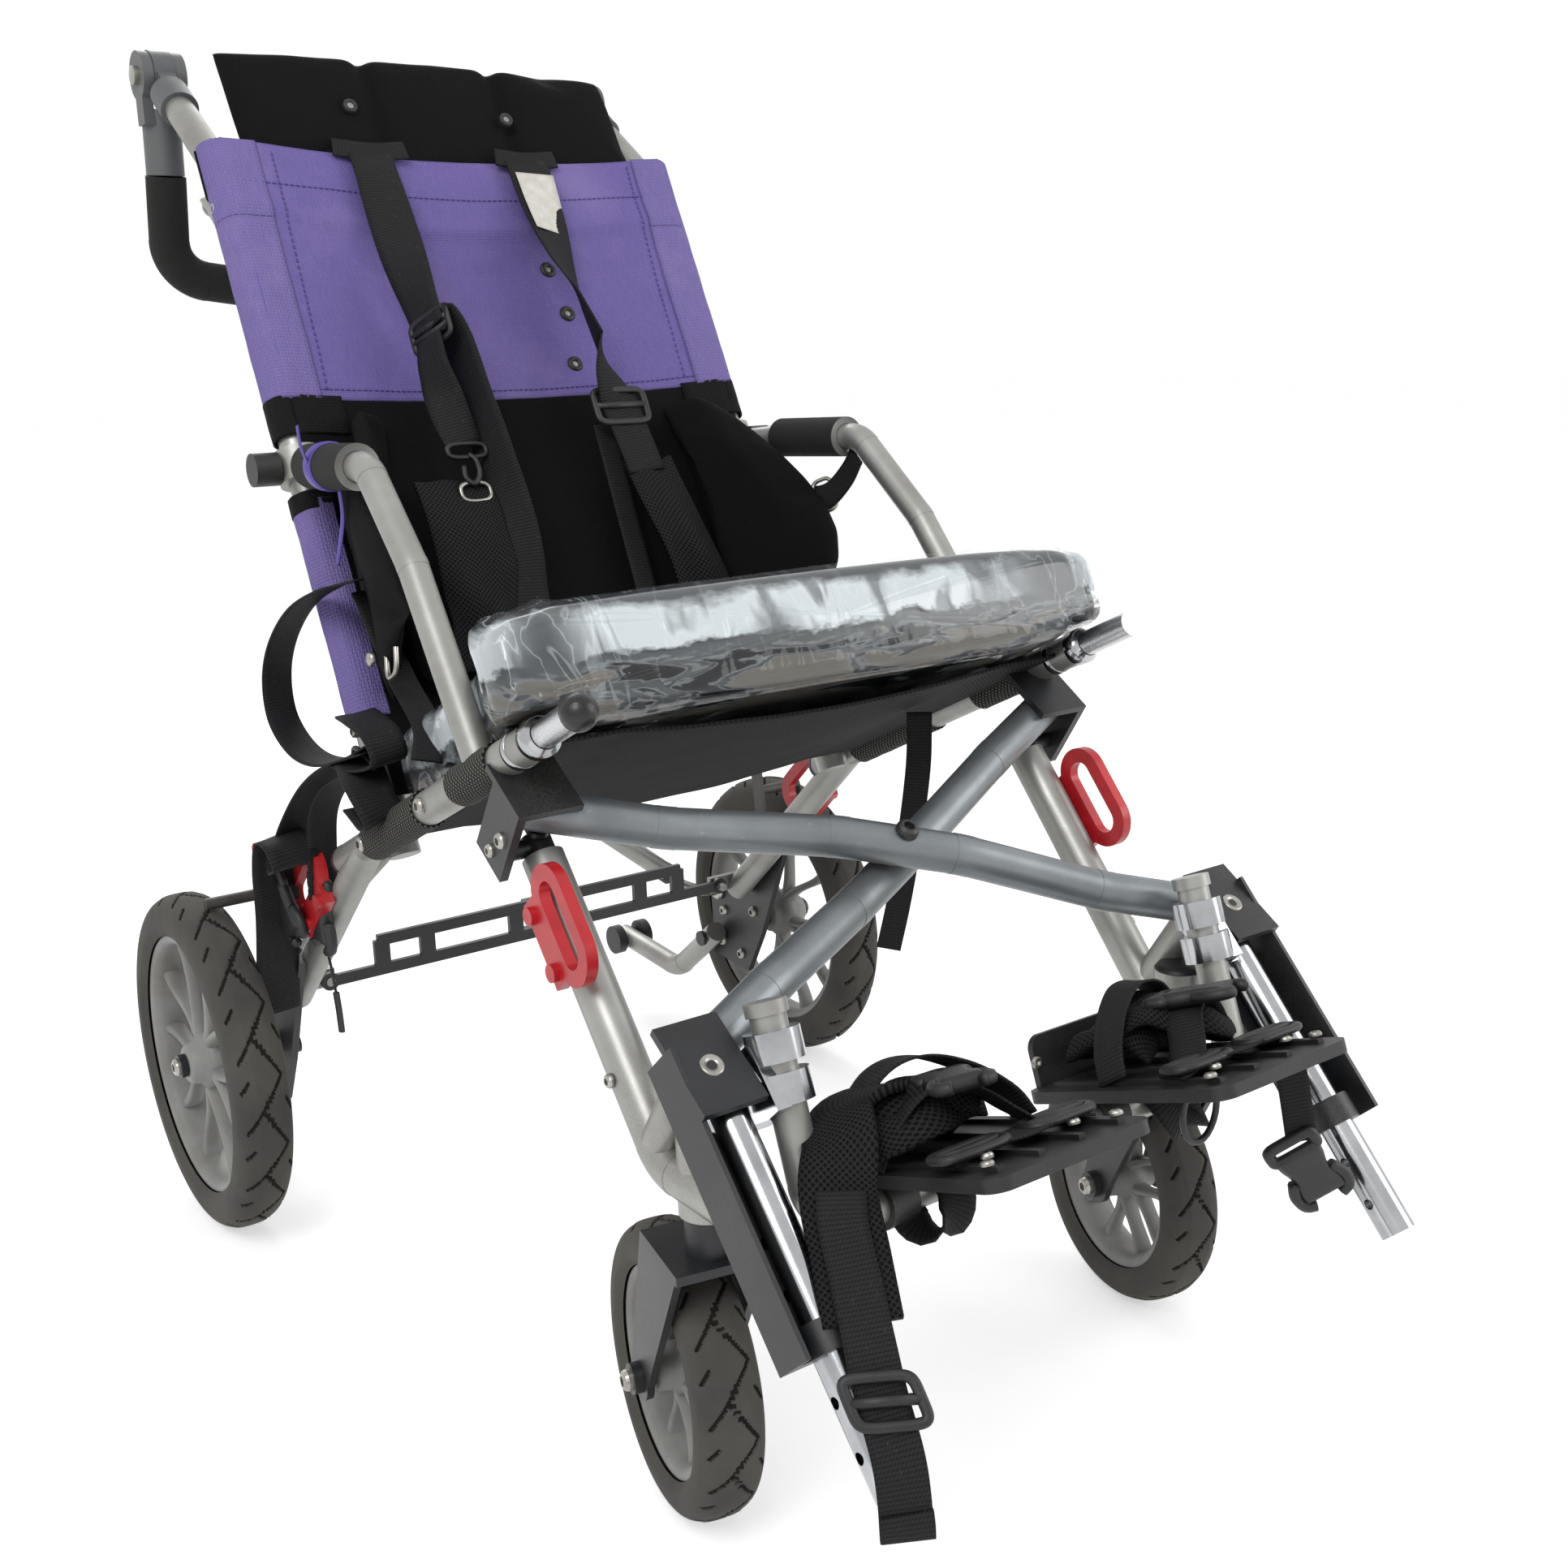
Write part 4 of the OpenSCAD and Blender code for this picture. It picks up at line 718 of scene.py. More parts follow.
def wheel(side, kind, joint, body, R, w, rim_r, hub_r, spoke_w, teeth, groove):
    pos, ax = jp(f"{side}_{joint}"), Vector(JOINT[f"{side}_{joint}"]["axis"])
    rot = XA.rotation_difference(-ax if ax.x < 0 else ax).to_matrix()

    def at(x, r, th):
        return tuple(pos + rot @ (Vector((x, r * C(th), r * S(th))) / 1000))

    def carry(o, part):
        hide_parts(f"{side}_{kind}_{part}")
        settle(o, f"{side}_{body}")

    n, m, half = 600, 60, w / 2
    prof = []
    for a in (math.pi * j / m for j in range(m + 1)):
        r = rim_r + 1.5 + (R - rim_r - 1.5) * (0.16 + 0.84 * abs(S(a)) ** 0.62)
        prof.append((-spow(C(a), 0.72) * half, min(r, R)))
    prof = [(prof[0][0] * 0.8, rim_r + 0.4)] + prof + [(prof[-1][0] * 0.8, rim_r + 0.4)]
    px, pr = np.array(prof).T
    turn = TAU * np.arange(n) / n
    pitch = TAU * R / teeth
    run = (turn * teeth / TAU) % 1.0 * pitch
    away = np.full((n, len(prof)), 99.0)
    for z0, x0, z1, x1 in TREAD:
        dx, dz = (x1 - x0) * half, (z1 - z0) * pitch
        for k in (-1, 0, 1):
            fx, fz = px[None, :] - x0 * half, run[:, None] - (z0 + k) * pitch
            t = np.clip((fx * dx + fz * dz) / (dx * dx + dz * dz), 0, 1)
            away = np.minimum(away, np.hypot(fx - t * dx, fz - t * dz))
    deep = np.where(pr[None, :] > rim_r + (R - rim_r) * 0.4, np.clip((groove - away) / 0.5, 0, 1), 0.0)
    crown = 0.5 * (np.abs(px) > half * 0.46) * (np.abs(px) < half * 0.96)
    rr = pr - crown - GROOVE_DEEP * deep
    tyre = grid(f"{side}_{kind}_tyre_tread", [[at(x, r, th) for x, r in zip(px, row)] for th, row in zip(turn, rr)],
                M_RUBBER, wrap_v=True)
    # painted shade: the faces in the grooves get the near-black rubber
    tyre.data.materials.append(M_GROOVE_SHADE.m)
    groove_shade = (deep > 0.3).astype(int)
    groove_shade = groove_shade + np.roll(groove_shade, -1, 0)
    tyre.data.polygons.foreach_set("material_index", (groove_shade[:, :-1] + groove_shade[:, 1:] >= 2).astype(np.int32).ravel())
    carry(tyre, "tyre")

    k = half * 0.72
    ring = [(-k, rim_r - 0.3), (-k, rim_r - 3), (-k + 2.5, rim_r - 7), (-k * 0.45, rim_r - 9)]
    hub = [(-HUB_HALF, 7), (-HUB_HALF, hub_r * 0.62), (-HUB_HALF + 3, hub_r * 0.72), (-9, hub_r * 0.8), (-7.5, hub_r)]
    objs = []
    for name, pts, cnt in (("ring", ring, 120), ("hub", hub, 60)):
        pts = pts + [(-x, r) for x, r in pts[::-1]]
        objs.append(grid(name, [[at(x, r, TAU * i / cnt) for x, r in pts] for i in range(cnt)], M_RIM, wrap_v=True))
    for i in range(SPOKE_PAIRS):
        for s in (-1, 1):
            pts = []
            for t in np.linspace(0, 1, 15):
                r = hub_r * 0.8 + (rim_r - 7 - hub_r * 0.8) * t
                th = TAU * i / SPOKE_PAIRS + 0.25 + s * (0.50 * (1 - t) ** 1.6 + 0.13 + 0.16 * t * t)
                wd, hh = spoke_w * (1.0 - 0.25 * S(math.pi * t)) / 2, 8.0 - 2.2 * S(math.pi * t)
                pts.append([at(spow(C(ph), 0.6) * hh, r, th + spow(S(ph), 0.6) * wd / r)
                            for ph in (TAU * b / 12 for b in range(12))])
            objs.append(grid("spoke", pts, M_RIM, wrap_u=True))
    rim = join(f"{side}_{kind}_rim_spokes", objs)
    rim.data.shade_smooth()
    carry(rim, "rim")


for side, _ in SIDES:
    wheel(side, "rear", "wheel_spin", "rear_wheel", 146, 46, 112, 24, 10, 15, 1.35)
    wheel(side, "caster", "caster_spin", "caster_wheel", 95, 44, 68, 17, 8, 12, 1.2)


# ---- back sling: purple above, black below, drawn round both posts
def sag_y(x, z):
    """How far the sheet lies from the post plane, with its drawn folds (front is negative)."""
    u = x / POST_X
    y = -15.6 + 19.0 * (1 - u * u) * (0.55 + 0.45 * share((540 - z) / 60))
    y -= 3.4 * math.exp(-((z - 518 - 14 * u * u) / 8.0) ** 2) * (1 - 0.5 * u * u)
    return y + 1.8 * N3(x, z * 1.7, 3.1, 0.011) + 0.7 * N3(x, z, 9.7, 0.045)


def on_sheet(x, z, lift):
    return back(x, sag_y(x, z) - lift, z)


def back_sheet(name, z0, z1, mat, nz, lift=0.0, hem=0.0):
    def fn(u, v):
        k = 2 * u - 1
        return on_sheet((POST_X + 1) * k, z0 + (z1 - hem * (1 - k * k) - z0) * v, lift)

    return thick(grid(name, net(fn, 84, nz), mat), 0.0016)


o = back_sheet("back_sling_purple", 361, 590, M_PURPLE, 60, hem=7.0)
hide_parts("back_sling")
cloth(o, "fold")
o = back_sheet("back_panel_black", 32, 362, M_CLOTH, 80, lift=-0.3)
cloth(o, "fold")


def sleeve(side, s, part, z0, z1, mat, a1=150.0, r=15.4, flap=28.0, nz=40, a0=-90.0):
    """Cloth drawn round a post: a flap on the sheet, then an arc about the tube (angles from straight out)."""
    rows = []
    for j in range(nz + 1):
        z = z0 + (z1 - z0) * j / nz
        row = []
        for i in range(6):
            x = POST_X - flap * (1 - i / 6)
            row.append((x, sag_y(s * x, z) - 1.4))
        y_join = row[-1][1] + 0.2
        for i in range(25):
            a = RAD(a0 + (a1 - a0) * i / 24)
            rr = r + 0.5 * N3(s * 40 + i * 0.5, z * 0.05, 2.0)
            k = min(1.0, i / 5)
            row.append((POST_X + C(a) * rr, S(a) * rr * k + y_join * (1 - k)))
        rows.append([back(s * x, y, z) for x, y in row])
    o = thick(grid(f"{side}_sleeve_{part}", rows, mat), 0.0014)
    flat = (float(steps(np.array(rows), 1).sum(1).mean()), abs(z1 - z0) / 1000)
    cloth(o, f"{side}_side")


for side, s in SIDES:
    # the upper, corner and lower sleeves take the lighter canvas, a painted sheen where the cloth turns round the posts
    sleeve(side, s, "upper", 362, 520, M_EDGE_SHEEN)
    sleeve(side, s, "corner", 520, 589, M_EDGE_SHEEN, a1=20.0, nz=24)
    sleeve(side, s, "band", 331, 364, M_BAND, r=15.9, flap=44.0, nz=14)
    sleeve(side, s, "lower", 96, 276, M_EDGE_SHEEN, flap=12.0)
    sleeve(side, s, "hem", 268, 283, M_BAND, r=16.1, flap=13.0, nz=8)

# bare black tabs round the posts at the sling's upper corners
TAB_R, TAB_FROM, TAB_TURN = 16.8, RAD(8), RAD(192)
for side, s in SIDES:
    def tab_fn(u, v):
        a = TAB_FROM + TAB_TURN * u
        return back(s * (POST_X + C(a) * TAB_R), S(a) * TAB_R, 548 + 40 * v)

    o = thick(grid(f"{side}_post_tab", net(tab_fn, 24, 8), M_BAND), 0.0014)
    cloth(o, f"{side}_side")


def stitches(path, lift=1.5, pitch=5.0, r=0.00045):
    """Short raised threads along a path on the sheet."""
    line = curve_pts([(x, z, 0) for x, z in path], 1.0)
    objs, acc = [], 0.0
    for a, b in zip(line[:-1], line[1:]):
        size = np.linalg.norm(b - a)
        acc += size
        if acc >= pitch:
            acc = 0.0
            d = (b - a) / size * pitch * 0.33
            pts = [on_sheet(x, z, h) for (x, z, _), h in ((a - d, lift), (a, lift + 0.35), (a + d, lift))]
            objs.append(sweep("stitch", pts, r, M_THREAD, n=6))
    return objs


thread = []
for path in (((-200, 552), (0, 546), (200, 552)), ((-166, 582), (-168, 470), (-172, 366)),
             ((172, 584), (170, 470), (168, 366)), ((-198, 370), (0, 369), (198, 370))):
    thread += stitches(path)
hardware("sling_stitching", thread, "fold")


def eyelets(name, places, ring, eye):
    objs = []
    for c in places:
        objs += [lathe("eyelet", ring, c, BN, M_PLASTIC, 24), lathe("eye", eye, c, BN, M_STEEL, 20)]
    hardware(name, objs, "fold")


eyelets("sling_eyelets", [on_sheet(x, z, 1.3) for x, z in ((66, 483), (73, 440), (67, 392))],
        [(-1, 2.6), (0.6, 2.7), (1.7, 4.2), (1.5, 6.0), (0.2, 7.2), (-0.8, 7.4)], [(0.0, 2.8), (0.1, 0.02)])

# ---- head panel: three stuffed sections with pressed seams
SEAMS = (-59.0, 65.0)
HEAD_LOW, HEAD_TOP = 572, 688


def seam_off(x):
    return min(abs(x - k) for k in SEAMS)


def head_x(u):
    return -186 + 370 * u


def head_fn(u, v):
    x = head_x(u)
    out = abs(x / 186.0)
    top = HEAD_TOP - 8 * out ** 2 + (7 * (out - 0.6) if x < -110 else 0) - 5 * math.exp(-(seam_off(x) / 9.0) ** 2)
    z = HEAD_LOW + (top - HEAD_LOW) * v
    y = 1.0 + 8 * (1 - out ** 2) * (0.3 + 0.7 * (1 - v)) + 4 * v + 2.5 * N3(x, z, 5.0, 0.016)
    return back(x * (1 + (0.055 if x > 0 else -0.02) * (0.5 - v)), y, z), BN


def head_dent(u, v):
    x = head_x(u)
    return 1.0 - 0.66 * math.exp(-(seam_off(x) / 5.5) ** 2) + 0.10 * N3(x * 0.03, v * 4, 2.0)


head = pad("head_panel_padded", head_fn, 74, 24, 0.022, M_CLOTH, 9.0, 2.6, head_dent)
puff(head, 5.0, 0.006, pin=lambda c: 1.0 if seam_off(c.x * 1000) < 4 else 0.0)
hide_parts("head_panel")
stuffed(head, "fold")
eyelets("head_eyelets", [back(-84, -11.0, 630), back(62, -11.0, 626)],
        [(-4, 2.8), (0.6, 2.9), (1.7, 3.9), (1.5, 5.4), (0.2, 6.4), (-3, 6.6)], [(0.2, 3.0), (0.3, 0.02)])

# ---- side pads: right one seen from outside, left one facing the camera
PAD_Z = (104, 112, 128, 150, 175, 204, 231, 262, 292, 318, 335, 346)
PAD_D = (34, 58, 86, 101, 106, 102, 92, 78, 62, 46, 34, 20)
PAD_X = 138


def wing_fn(s):
    def fn(u, v):
        z = 104 + 242 * v
        d = float(np.interp(z, PAD_Z, PAD_D)) * u
        x = s * (PAD_X + 64 * (d / 106) ** 0.8 + 3 * S(3 * v))
        return back(x, sag_y(s * PAD_X, z) - 2 - d, z), back_dir(-s, -0.45, 0.05)
    return fn


for side, s in SIDES:
    o = puff(pad(f"{side}_side_pad", wing_fn(s), 24, 40, 0.024, M_CLOTH, 5.0, 2.2), 5.0, 0.006)
    if side == "right":
        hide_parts("side_pads")
    stuffed(o, "right_side" if side == "right" else "fold")

# ---- seat: mesh sling, vinyl cushion and its clear wrap
SEAT_HALF = 224.0


def seat_fn(u, v):
    k, a = 2 * u - 1, 24 + 278 * v
    x = SEAT_HALF * k
    h = 12.6 - 16.5 * (1 - k * k) + 0.8 * N3(x, a, 1.0, 0.02)
    return seat(x, a, min(h, 5.0 if abs(x) < 220 else 9.0) - 6.4)


o = thick(grid("seat_sling_mesh", net(seat_fn, 60, 60), M_MESH), 0.0022)
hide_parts("seat_sling")
cloth(o, "fold")
SLEEVE_R = 13.9
for side, s in SIDES:
    for a0, a1 in ((18, 129), (194, 262)):
        rows = []
        for a in (a0 + (a1 - a0) * j / 40 for j in range(41)):
            rr = [SLEEVE_R + 0.35 * N3(i * 0.4, a * 0.08, s) for i in range(36)]
            rows.append([seat(s * RAIL_X + C(TAU * i / 36) * r, a, S(TAU * i / 36) * r) for i, r in enumerate(rr)])
        o = thick(grid(f"{side}_rail_sleeve_{a0}", rows, M_SLEEVE, wrap_u=True), 0.0012)
        cloth(o, f"{side}_side")


def cushion_ring(a, scale, shrink, out, grow, wrinkle, seed, count):
    """One ring of the cushion round its depth axis; shrink below 1 is on an end face, facing out."""
    row = []
    wide = 206 + 44 * share((a - 190) / 120) ** 1.2
    for i in range(count):
        cx, cz = spow(C(TAU * i / count), 0.30), spow(S(TAU * i / count), 0.36)
        x = cx * (wide + grow) * (0.955 + 0.045 * scale) * shrink
        h = 43 + cz * (37 + grow + 4 * (1 - (x / 250) ** 2)) * (0.66 + 0.34 * scale) * shrink
        bunch = share((-x - 178) / 60) * share((a - 250) / 60)
        amp = wrinkle * (1 + 2.4 * bunch)
        ends = 0.35 + 2.2 * max(0.0, (abs(x) - 150) / 100)
        pull = N3(x * 1.5 + seed, h * 0.45 + 0.3 * x, a * 0.4, 0.05) * ends
        crease = max(0.0, 0.10 - abs(N3(x * 1.2, a * 0.7 + seed, h * 0.6, 0.026))) * 10
        d = amp * (0.6 * pull - 0.35 * crease + 0.8 * bunch)
        a2 = a
        if shrink < 1 or scale < 0.6:
            a2 += out * d
            h += 0.3 * d * cz
        else:
            h += d * cz * (0.4 if cz < 0 else 1.0)
        x += amp * 0.5 * N3(x, a * 1.4, h + seed, 0.06) + math.copysign(5.0 * bunch, x)
        row.append(seat(x, a2, max(h, 15.5 if abs(x) > 212 else 4.4 - grow)))
    return row


def cushion_box(name, mat, grow, wrinkle, seed, na, count):
    """Boxed cushion: rings along the depth, with rings drawing in over each end face."""
    how = (grow, wrinkle, seed, count)
    draw = (0.12, 0.3, 0.48, 0.64, 0.78, 0.89, 0.96)
    rows = [cushion_ring(34 - grow - 5 * (1 - f), 0.0, f, -1, *how) for f in draw]
    for k in (2 * j / na - 1 for j in range(na + 1)):
        a = 185 + (151 + grow) * spow(k, 0.82)
        rows.append(cushion_ring(a, max(0.0, 1 - abs(k) ** 14) ** 0.4, 1.0, math.copysign(1, k), *how))
    rows += [cushion_ring(336 + grow + 6 * (1 - f), 0.0, f, 1, *how) for f in reversed(draw)]
    o = rework(grid(name, rows, mat, wrap_u=True), lambda bm: bmesh.ops.poke(bm, faces=close(bm)))
    o.data.shade_smooth()
    return o


o = smooth_up(cushion_box("seat_cushion_vinyl", M_VINYL, 0.0, 0.9, 4.0, 60, 84))
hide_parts("seat_cushion")
stuffed(o, "fold")
stuffed(cushion_box("seat_cushion_wrap", M_FILM, 2.4, 2.6, 11.0, 110, 200), "fold")

# ---- harness: webbing straps with a ladder buckle, a tri-glide, a snap hook and mesh chest pieces
FROM_HEAD = ("right_upper", "right_long", "left_upper")
HARNESS = (    # name, seed, width, route on the back, width directions (as lean has them)
    ("right_upper", 0, 38, ((-80, -10, 592), (-81, -17, 572), (-83, -24, 522), (-86, -34, 466), (-86, -40, 426),
                            (-85, -42, 404)), ((1, 0), (1, 0), (0.9, 0.3), (0.7, 0.6), (0.45, 0.9), (0.25, 1))),
    ("right_long", 2, 38, ((-84, -43, 400), (-76, -47, 414), (-66, -46, 390), (-63, -44, 343), (-61, -44, 284),
                           (-61, -42, 213), (-65, -34, 144), (-66, -26, 84)),
     ((0.25, 1), (0.25, 1), (0.35, 1), (0.6, 1), (1, 0.5), (1, 0), (1, 0), (1, 0))),
    ("right_short", 3, 32, ((-88, -41, 398), (-91, -41, 372), (-88, -40, 336), (-83, -39, 304)),
     ((0.25, 1), (0.5, 1), (0.9, 0.4), (1, 0))),
    ("left_upper", 4, 40, ((66, -10, 592), (66, -17, 572), (64, -24, 526), (61, -34, 475), (65, -40, 430),
                           (71, -41, 392)), ((1, 0), (1, 0), (0.95, -0.2), (0.8, -0.5), (0.5, -0.85), (0.35, -0.95))),
    ("left_middle", 5, 38, ((71, -41, 392), (70, -40, 360), (75, -37, 332)), ((0.35, -0.95), (0.8, -0.5), (1, 0))),
    ("left_lower", 6, 36, ((75, -37, 332), (79, -37, 302), (82, -38, 270)), ((1, 0),) * 3),
    ("left_tail", 7, 20, ((62, -22, 322), (60, -20, 227), (58, -18, 120)), ((1, 0),) * 3))


def on_back(pts):
    return [back(*p) for p in pts]


for name, seed, wide, route, turns in HARNESS:
    how = {"on": ("head_panel",), "wave": 0.002} if name in FROM_HEAD else {}
    o = strap(f"harness_{name}", on_back(route), [lean(*k) for k in turns], wide, "fold", seed=seed, **how)
    if name == "right_upper":
        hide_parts("harness")
# doubled slots where the straps leave the head panel
strap("strap_slot_right", on_back([(-112, -13, 588), (-78, -15, 584), (-46, -13, 588)]), BD, 16, "fold", held="laid")
strap("strap_slot_left", on_back([(38, -13, 586), (66, -15, 582), (98, -13, 586)]), BD, 16, "fold", held="laid")
hard = loop_ring(back(75, -38, 332), XA, BD, 50, 30, 3.2, flat=0.7, bars=(0.05,))
hard += loop_ring(back(-85, -42, 404), lean(0.35, 1), BD, 44, 26, 2.8, flat=0.7, bars=(-0.2, 0.3))
hard += loop_ring(back(-82, -40, 298), XA, BD, 34, 12, 2.2, corner=0.6)
hook = on_back([(-82, -41, 294), (-78, -43, 288), (-78, -43, 276), (-84, -42, 268), (-90, -41, 274), (-89, -41, 284)])
hard.append(sweep("hook", curve_pts(hook, 0.002), 0.0024, M_PLASTIC, n=8))
hard += loop_ring(back(-84, -40, 262), XA, BD, 26, 16, 1.8, M_STEEL, corner=0.7)
hardware("harness_buckles", hard, "fold")
strap("bare_label", on_back([(68, -20.5, 566), (66, -25, 530), (64.5, -29, 504)]),
      [lean(1, 0), lean(0.97, -0.12), lean(0.93, -0.3)], 37, "fold", M_PLAIN, t=0.0006, held="laid")


def chest(name, x0, x1, z0, z1, slant, seed, bulge):
    """A crumpled mesh chest piece hanging in front of the back panel."""
    def fn(u, v):
        x = x0 + (x1 - x0) * u + slant * v * v + 10 * N3(seed, v * 3.2, u * 0.8) * v
        z = z0 + (z1 - z0) * v + 7 * N3(u * 2.4, v * 1.1, seed + 5)
        y = -33 - bulge * S(math.pi * min(1, v * 1.15)) * (0.55 + 0.45 * S(math.pi * u))
        y -= 9 * N3(u * 2.1, v * 3.4, seed) * (0.2 + v)
        return back(x, min(y, sag_y(x, z) - 6), z)

    rows = net(fn, 28, 40)
    flat = tuple(float(steps(np.array(rows), ax).sum(ax).mean()) for ax in (1, 0))
    cloth(thick(grid(name, rows, M_MESH), 0.0032), "fold")


chest("chest_mesh_right", -132, -66, 276, 120, -8, 3.0, 16)
chest("chest_mesh_left", 64, 112, 282, 96, 34, 8.0, 22)


def roll(name, ctrl, w, seed, body, t=0.016):
    """A crumpled, rolled band of padded mesh."""
    line = curve_pts(ctrl, 0.006)
    n = len(line)

    def fn(u, v):
        k = u * (n - 1)
        i = min(int(k), n - 2)
        d = line[i + 1] - line[i]
        c = line[i] + d * (k - i)
        d = d / np.linalg.norm(d)
        side = np.cross(d, np.array((0.12, 0.25, 1.0)))
        side /= np.linalg.norm(side)
        nr = np.cross(side, d)
        off = 0.008 * N3(u * 5 + seed, v * 2.2, seed) - 0.22 * w / 1000 * (2 * v - 1) ** 2
        return c + side * ((v - 0.5) * w / 1000) + nr * off, nr

    stuffed(puff(pad(name, fn, max(16, n), 12, t, M_MESH, 5.0, 2.2), 3.0, 0.005), body)


roll("chest_roll_left", on_back([(86, -48, 150), (112, -66, 126), (146, -78, 120), (176, -86, 132)]), 62, 4.0, "fold")
roll("chest_roll_low", on_back([(70, -40, 106), (104, -56, 98), (140, -64, 104)]), 48, 6.0, "fold")

# ---- loose webbing on the right side, behind the armrest
LOOSE = (    # name, route, width, wave
    ("loop", ((-214, 6, 572), (-228, 40, 564), (-236, 84, 546), (-238, 126, 516), (-237, 152, 482), (-236, 150, 448),
              (-236, 112, 428), (-235, 64, 426), (-232, 10, 440), (-228, -40, 462)), 26, 0.0015),
    ("fall", ((-228, -30, 452), (-240, 10, 438), (-246, 50, 414), (-252, 84, 380), (-258, 96, 352), (-264, 84, 342),
              (-268, 62, 352), (-270, 72, 366), (-269, 98, 364), (-268, 112, 338), (-268, 115, 300), (-268, 127, 250),
              (-268, 138, 204)), 38, 0.002),
    ("short", ((-232, -54, 447), (-238, -10, 432), (-242, 30, 414), (-244, 58, 386), (-244, 68, 350), (-244, 74, 316)),
     26, 0.0015),
    ("fold_a", ((-226, 20, 470), (-236, -20, 474), (-238, -56, 468), (-236, -62, 450), (-240, -30, 440),
                (-240, 6, 438)), 30, 0.002),
    ("fold_b", ((-238, -8, 440), (-246, -36, 436), (-250, -60, 426), (-246, -70, 410), (-242, -50, 402),
                (-240, -20, 408)), 34, 0.002),
    ("tie", ((-206, 30, 560), (-200, -10, 500), (-204, -60, 470), (-220, -92, 452)), 22, 0.0))


def places(pts):
    return [P(*p) for p in pts]


for i, (name, route, wide, wave) in enumerate(LOOSE):
    strap(f"loose_{name}", places(route), unit(1, 0.15, 0.1), wide, "right_side", wave=wave, seed=11 + i)
hang = places([(152, -192, 449), (152, -190, 404), (150, -180, 340), (147, -170, 288), (142, -162, 246)])
strap("seat_hang_strap", hang, unit(0.80, -0.60, 0.0), 20, "fold", on=("seat_sling",), seed=17)


def clip(center, long, wide, nrm, l, w, t):
    """A side-release buckle: body, two prongs and the webbing bar."""
    ld, wd, nd = (Vector(v).normalized() for v in (long, wide, nrm))
    c = Vector(center)

    def at(a, b, h=0.0):
        return c + ld * (a / 1000) + wd * (b / 1000) + nd * h

    def fn(u, v):
        waist = 1 - 0.18 * S(math.pi * share(u * 1.2 - 0.1)) ** 4
        return at((u - 0.5) * l, (v - 0.5) * w * waist), nd

    parts = [pad("clip", fn, 18, 12, t / 1000, M_PLASTIC, 8.0, 4.0)]
    for s in (-1, 1):
        prong = [at(l * a, s * w * b, 0.0002) for a, b in ((0.05, 0.42), (0.3, 0.55), (0.52, 0.5), (0.6, 0.3))]
        parts.append(sweep("prong", curve_pts(prong, 0.002), t * 0.42 / 1000, M_PLASTIC, n=8))
    return parts + loop_ring(at(-l * 0.55, 0), wd, ld, w * 0.98, l * 0.28, t * 0.4)


hard = clip(P(-246, 76, 300), (0, 0.1, -1), (0, 1, 0.1), (-1, 0, 0), 46, 34, 11)
hard += clip(P(-262, 108, 300), (0.1, -0.55, -0.8), (0, 0.8, -0.55), (-1, 0.1, 0), 44, 30, 10)
hard += loop_ring(P(-236, -14, 436), (0, 1, 0.2), (0, -0.2, 1), 36, 20, 2.4, bars=(0.0,))
hard += loop_ring(P(-214, -30, 520), (0, 0.9, -0.4), (0.2, 0.4, 0.9), 20, 34, 2.0, M_STEEL, corner=0.6)
hard.append(lathe("rivet", [(-2, 6), (0, 6), (2, 4.6), (2.6, 0.02)], P(-216, 6, 512), (-1, 0, 0), M_STEEL, 20))
hardware("right_loose_buckles", hard, "right_side")
CORD_THICK = 0.0024
line = curve_pts(places([(-246, 74, 278), (-246, 66, 258), (-247, 58, 240)]), 0.003)
grip = curve_pts(places([(-247, 58, 240), (-247, 55, 226), (-247, 53, 208)]), 0.003)
pull = settle(sweep("zip_pull_grip", grip, 0.0042, M_PLASTIC, n=10, flat=0.55), "right_side")
o = sweep("zip_pull_cord", line, CORD_THICK / 2, M_THREAD_K, n=8)
float(steps(line, 0).sum())
settle(o, "right_side")


def flap_fn(u, v):
    """Right wing's fold of cloth beside the armrest."""
    lo, hi = 96 + 30 * u, 300 - 120 * u * u
    x = -(192 + 24 * S(1.5 * u) - 6 * v + 7 * N3(u * 2, v * 2.5, 21.0))
    return back(x, -22 - 128.0 * u, lo + (hi - lo) * v), back_dir(-1, -0.35 * u, 0.2)


o = puff(pad("right_wing_flap", flap_fn, 24, 28, 0.010, M_CLOTH, 3.6, 2.2), 3.0, 0.005)
stuffed(o, "right_side")

# left pad's tie to its armrest, with a ring
strap("left_pad_tie", [back(194, -84, 236)] + places([(206, 22, 602), (214, 2, 604), (219, -18, 622), (221, -30, 640)]),
      unit(0.2, 0.5, 0.85), 24, "left_side", seed=31)
hardware("left_pad_ring", loop_ring(P(213, 6, 604), (0.1, 0.5, 0.85), (0.5, -0.75, 0.35), 30, 20, 1.9, M_STEEL,
                                    corner=0.6), "left_side")

# purple band with its two tails on the right armrest foam
arm = P(-220, 85.9, 651.5)
run = (P(-222, -34, 655.5) - arm).normalized()
hard = [lathe("band", [(-7, 17.3), (-6, 18.3), (0, 18.6), (6, 18.3), (7, 17.3)], arm + run * 0.046, run, M_TRIM, 40)]
for r, tail in ((0.0030, ((0.048, -0.0175, 0, 0.004), (0.052, -0.022, 0.002, 0.016), (0.050, -0.021, 0.006, 0.030))),
                (0.0034, ((0.046, 0.006, 0, -0.0172), (0.044, 0.008, 0.002, -0.040), (0.040, 0.004, 0.006, -0.074)))):
    pts = [arm + run * k + Vector(off) for k, *off in tail]
    hard.append(sweep("band_tail", curve_pts(pts, 0.002), r, M_TRIM, n=8, flat=0.3))
hardware("right_arm_band", hard, "right_side")

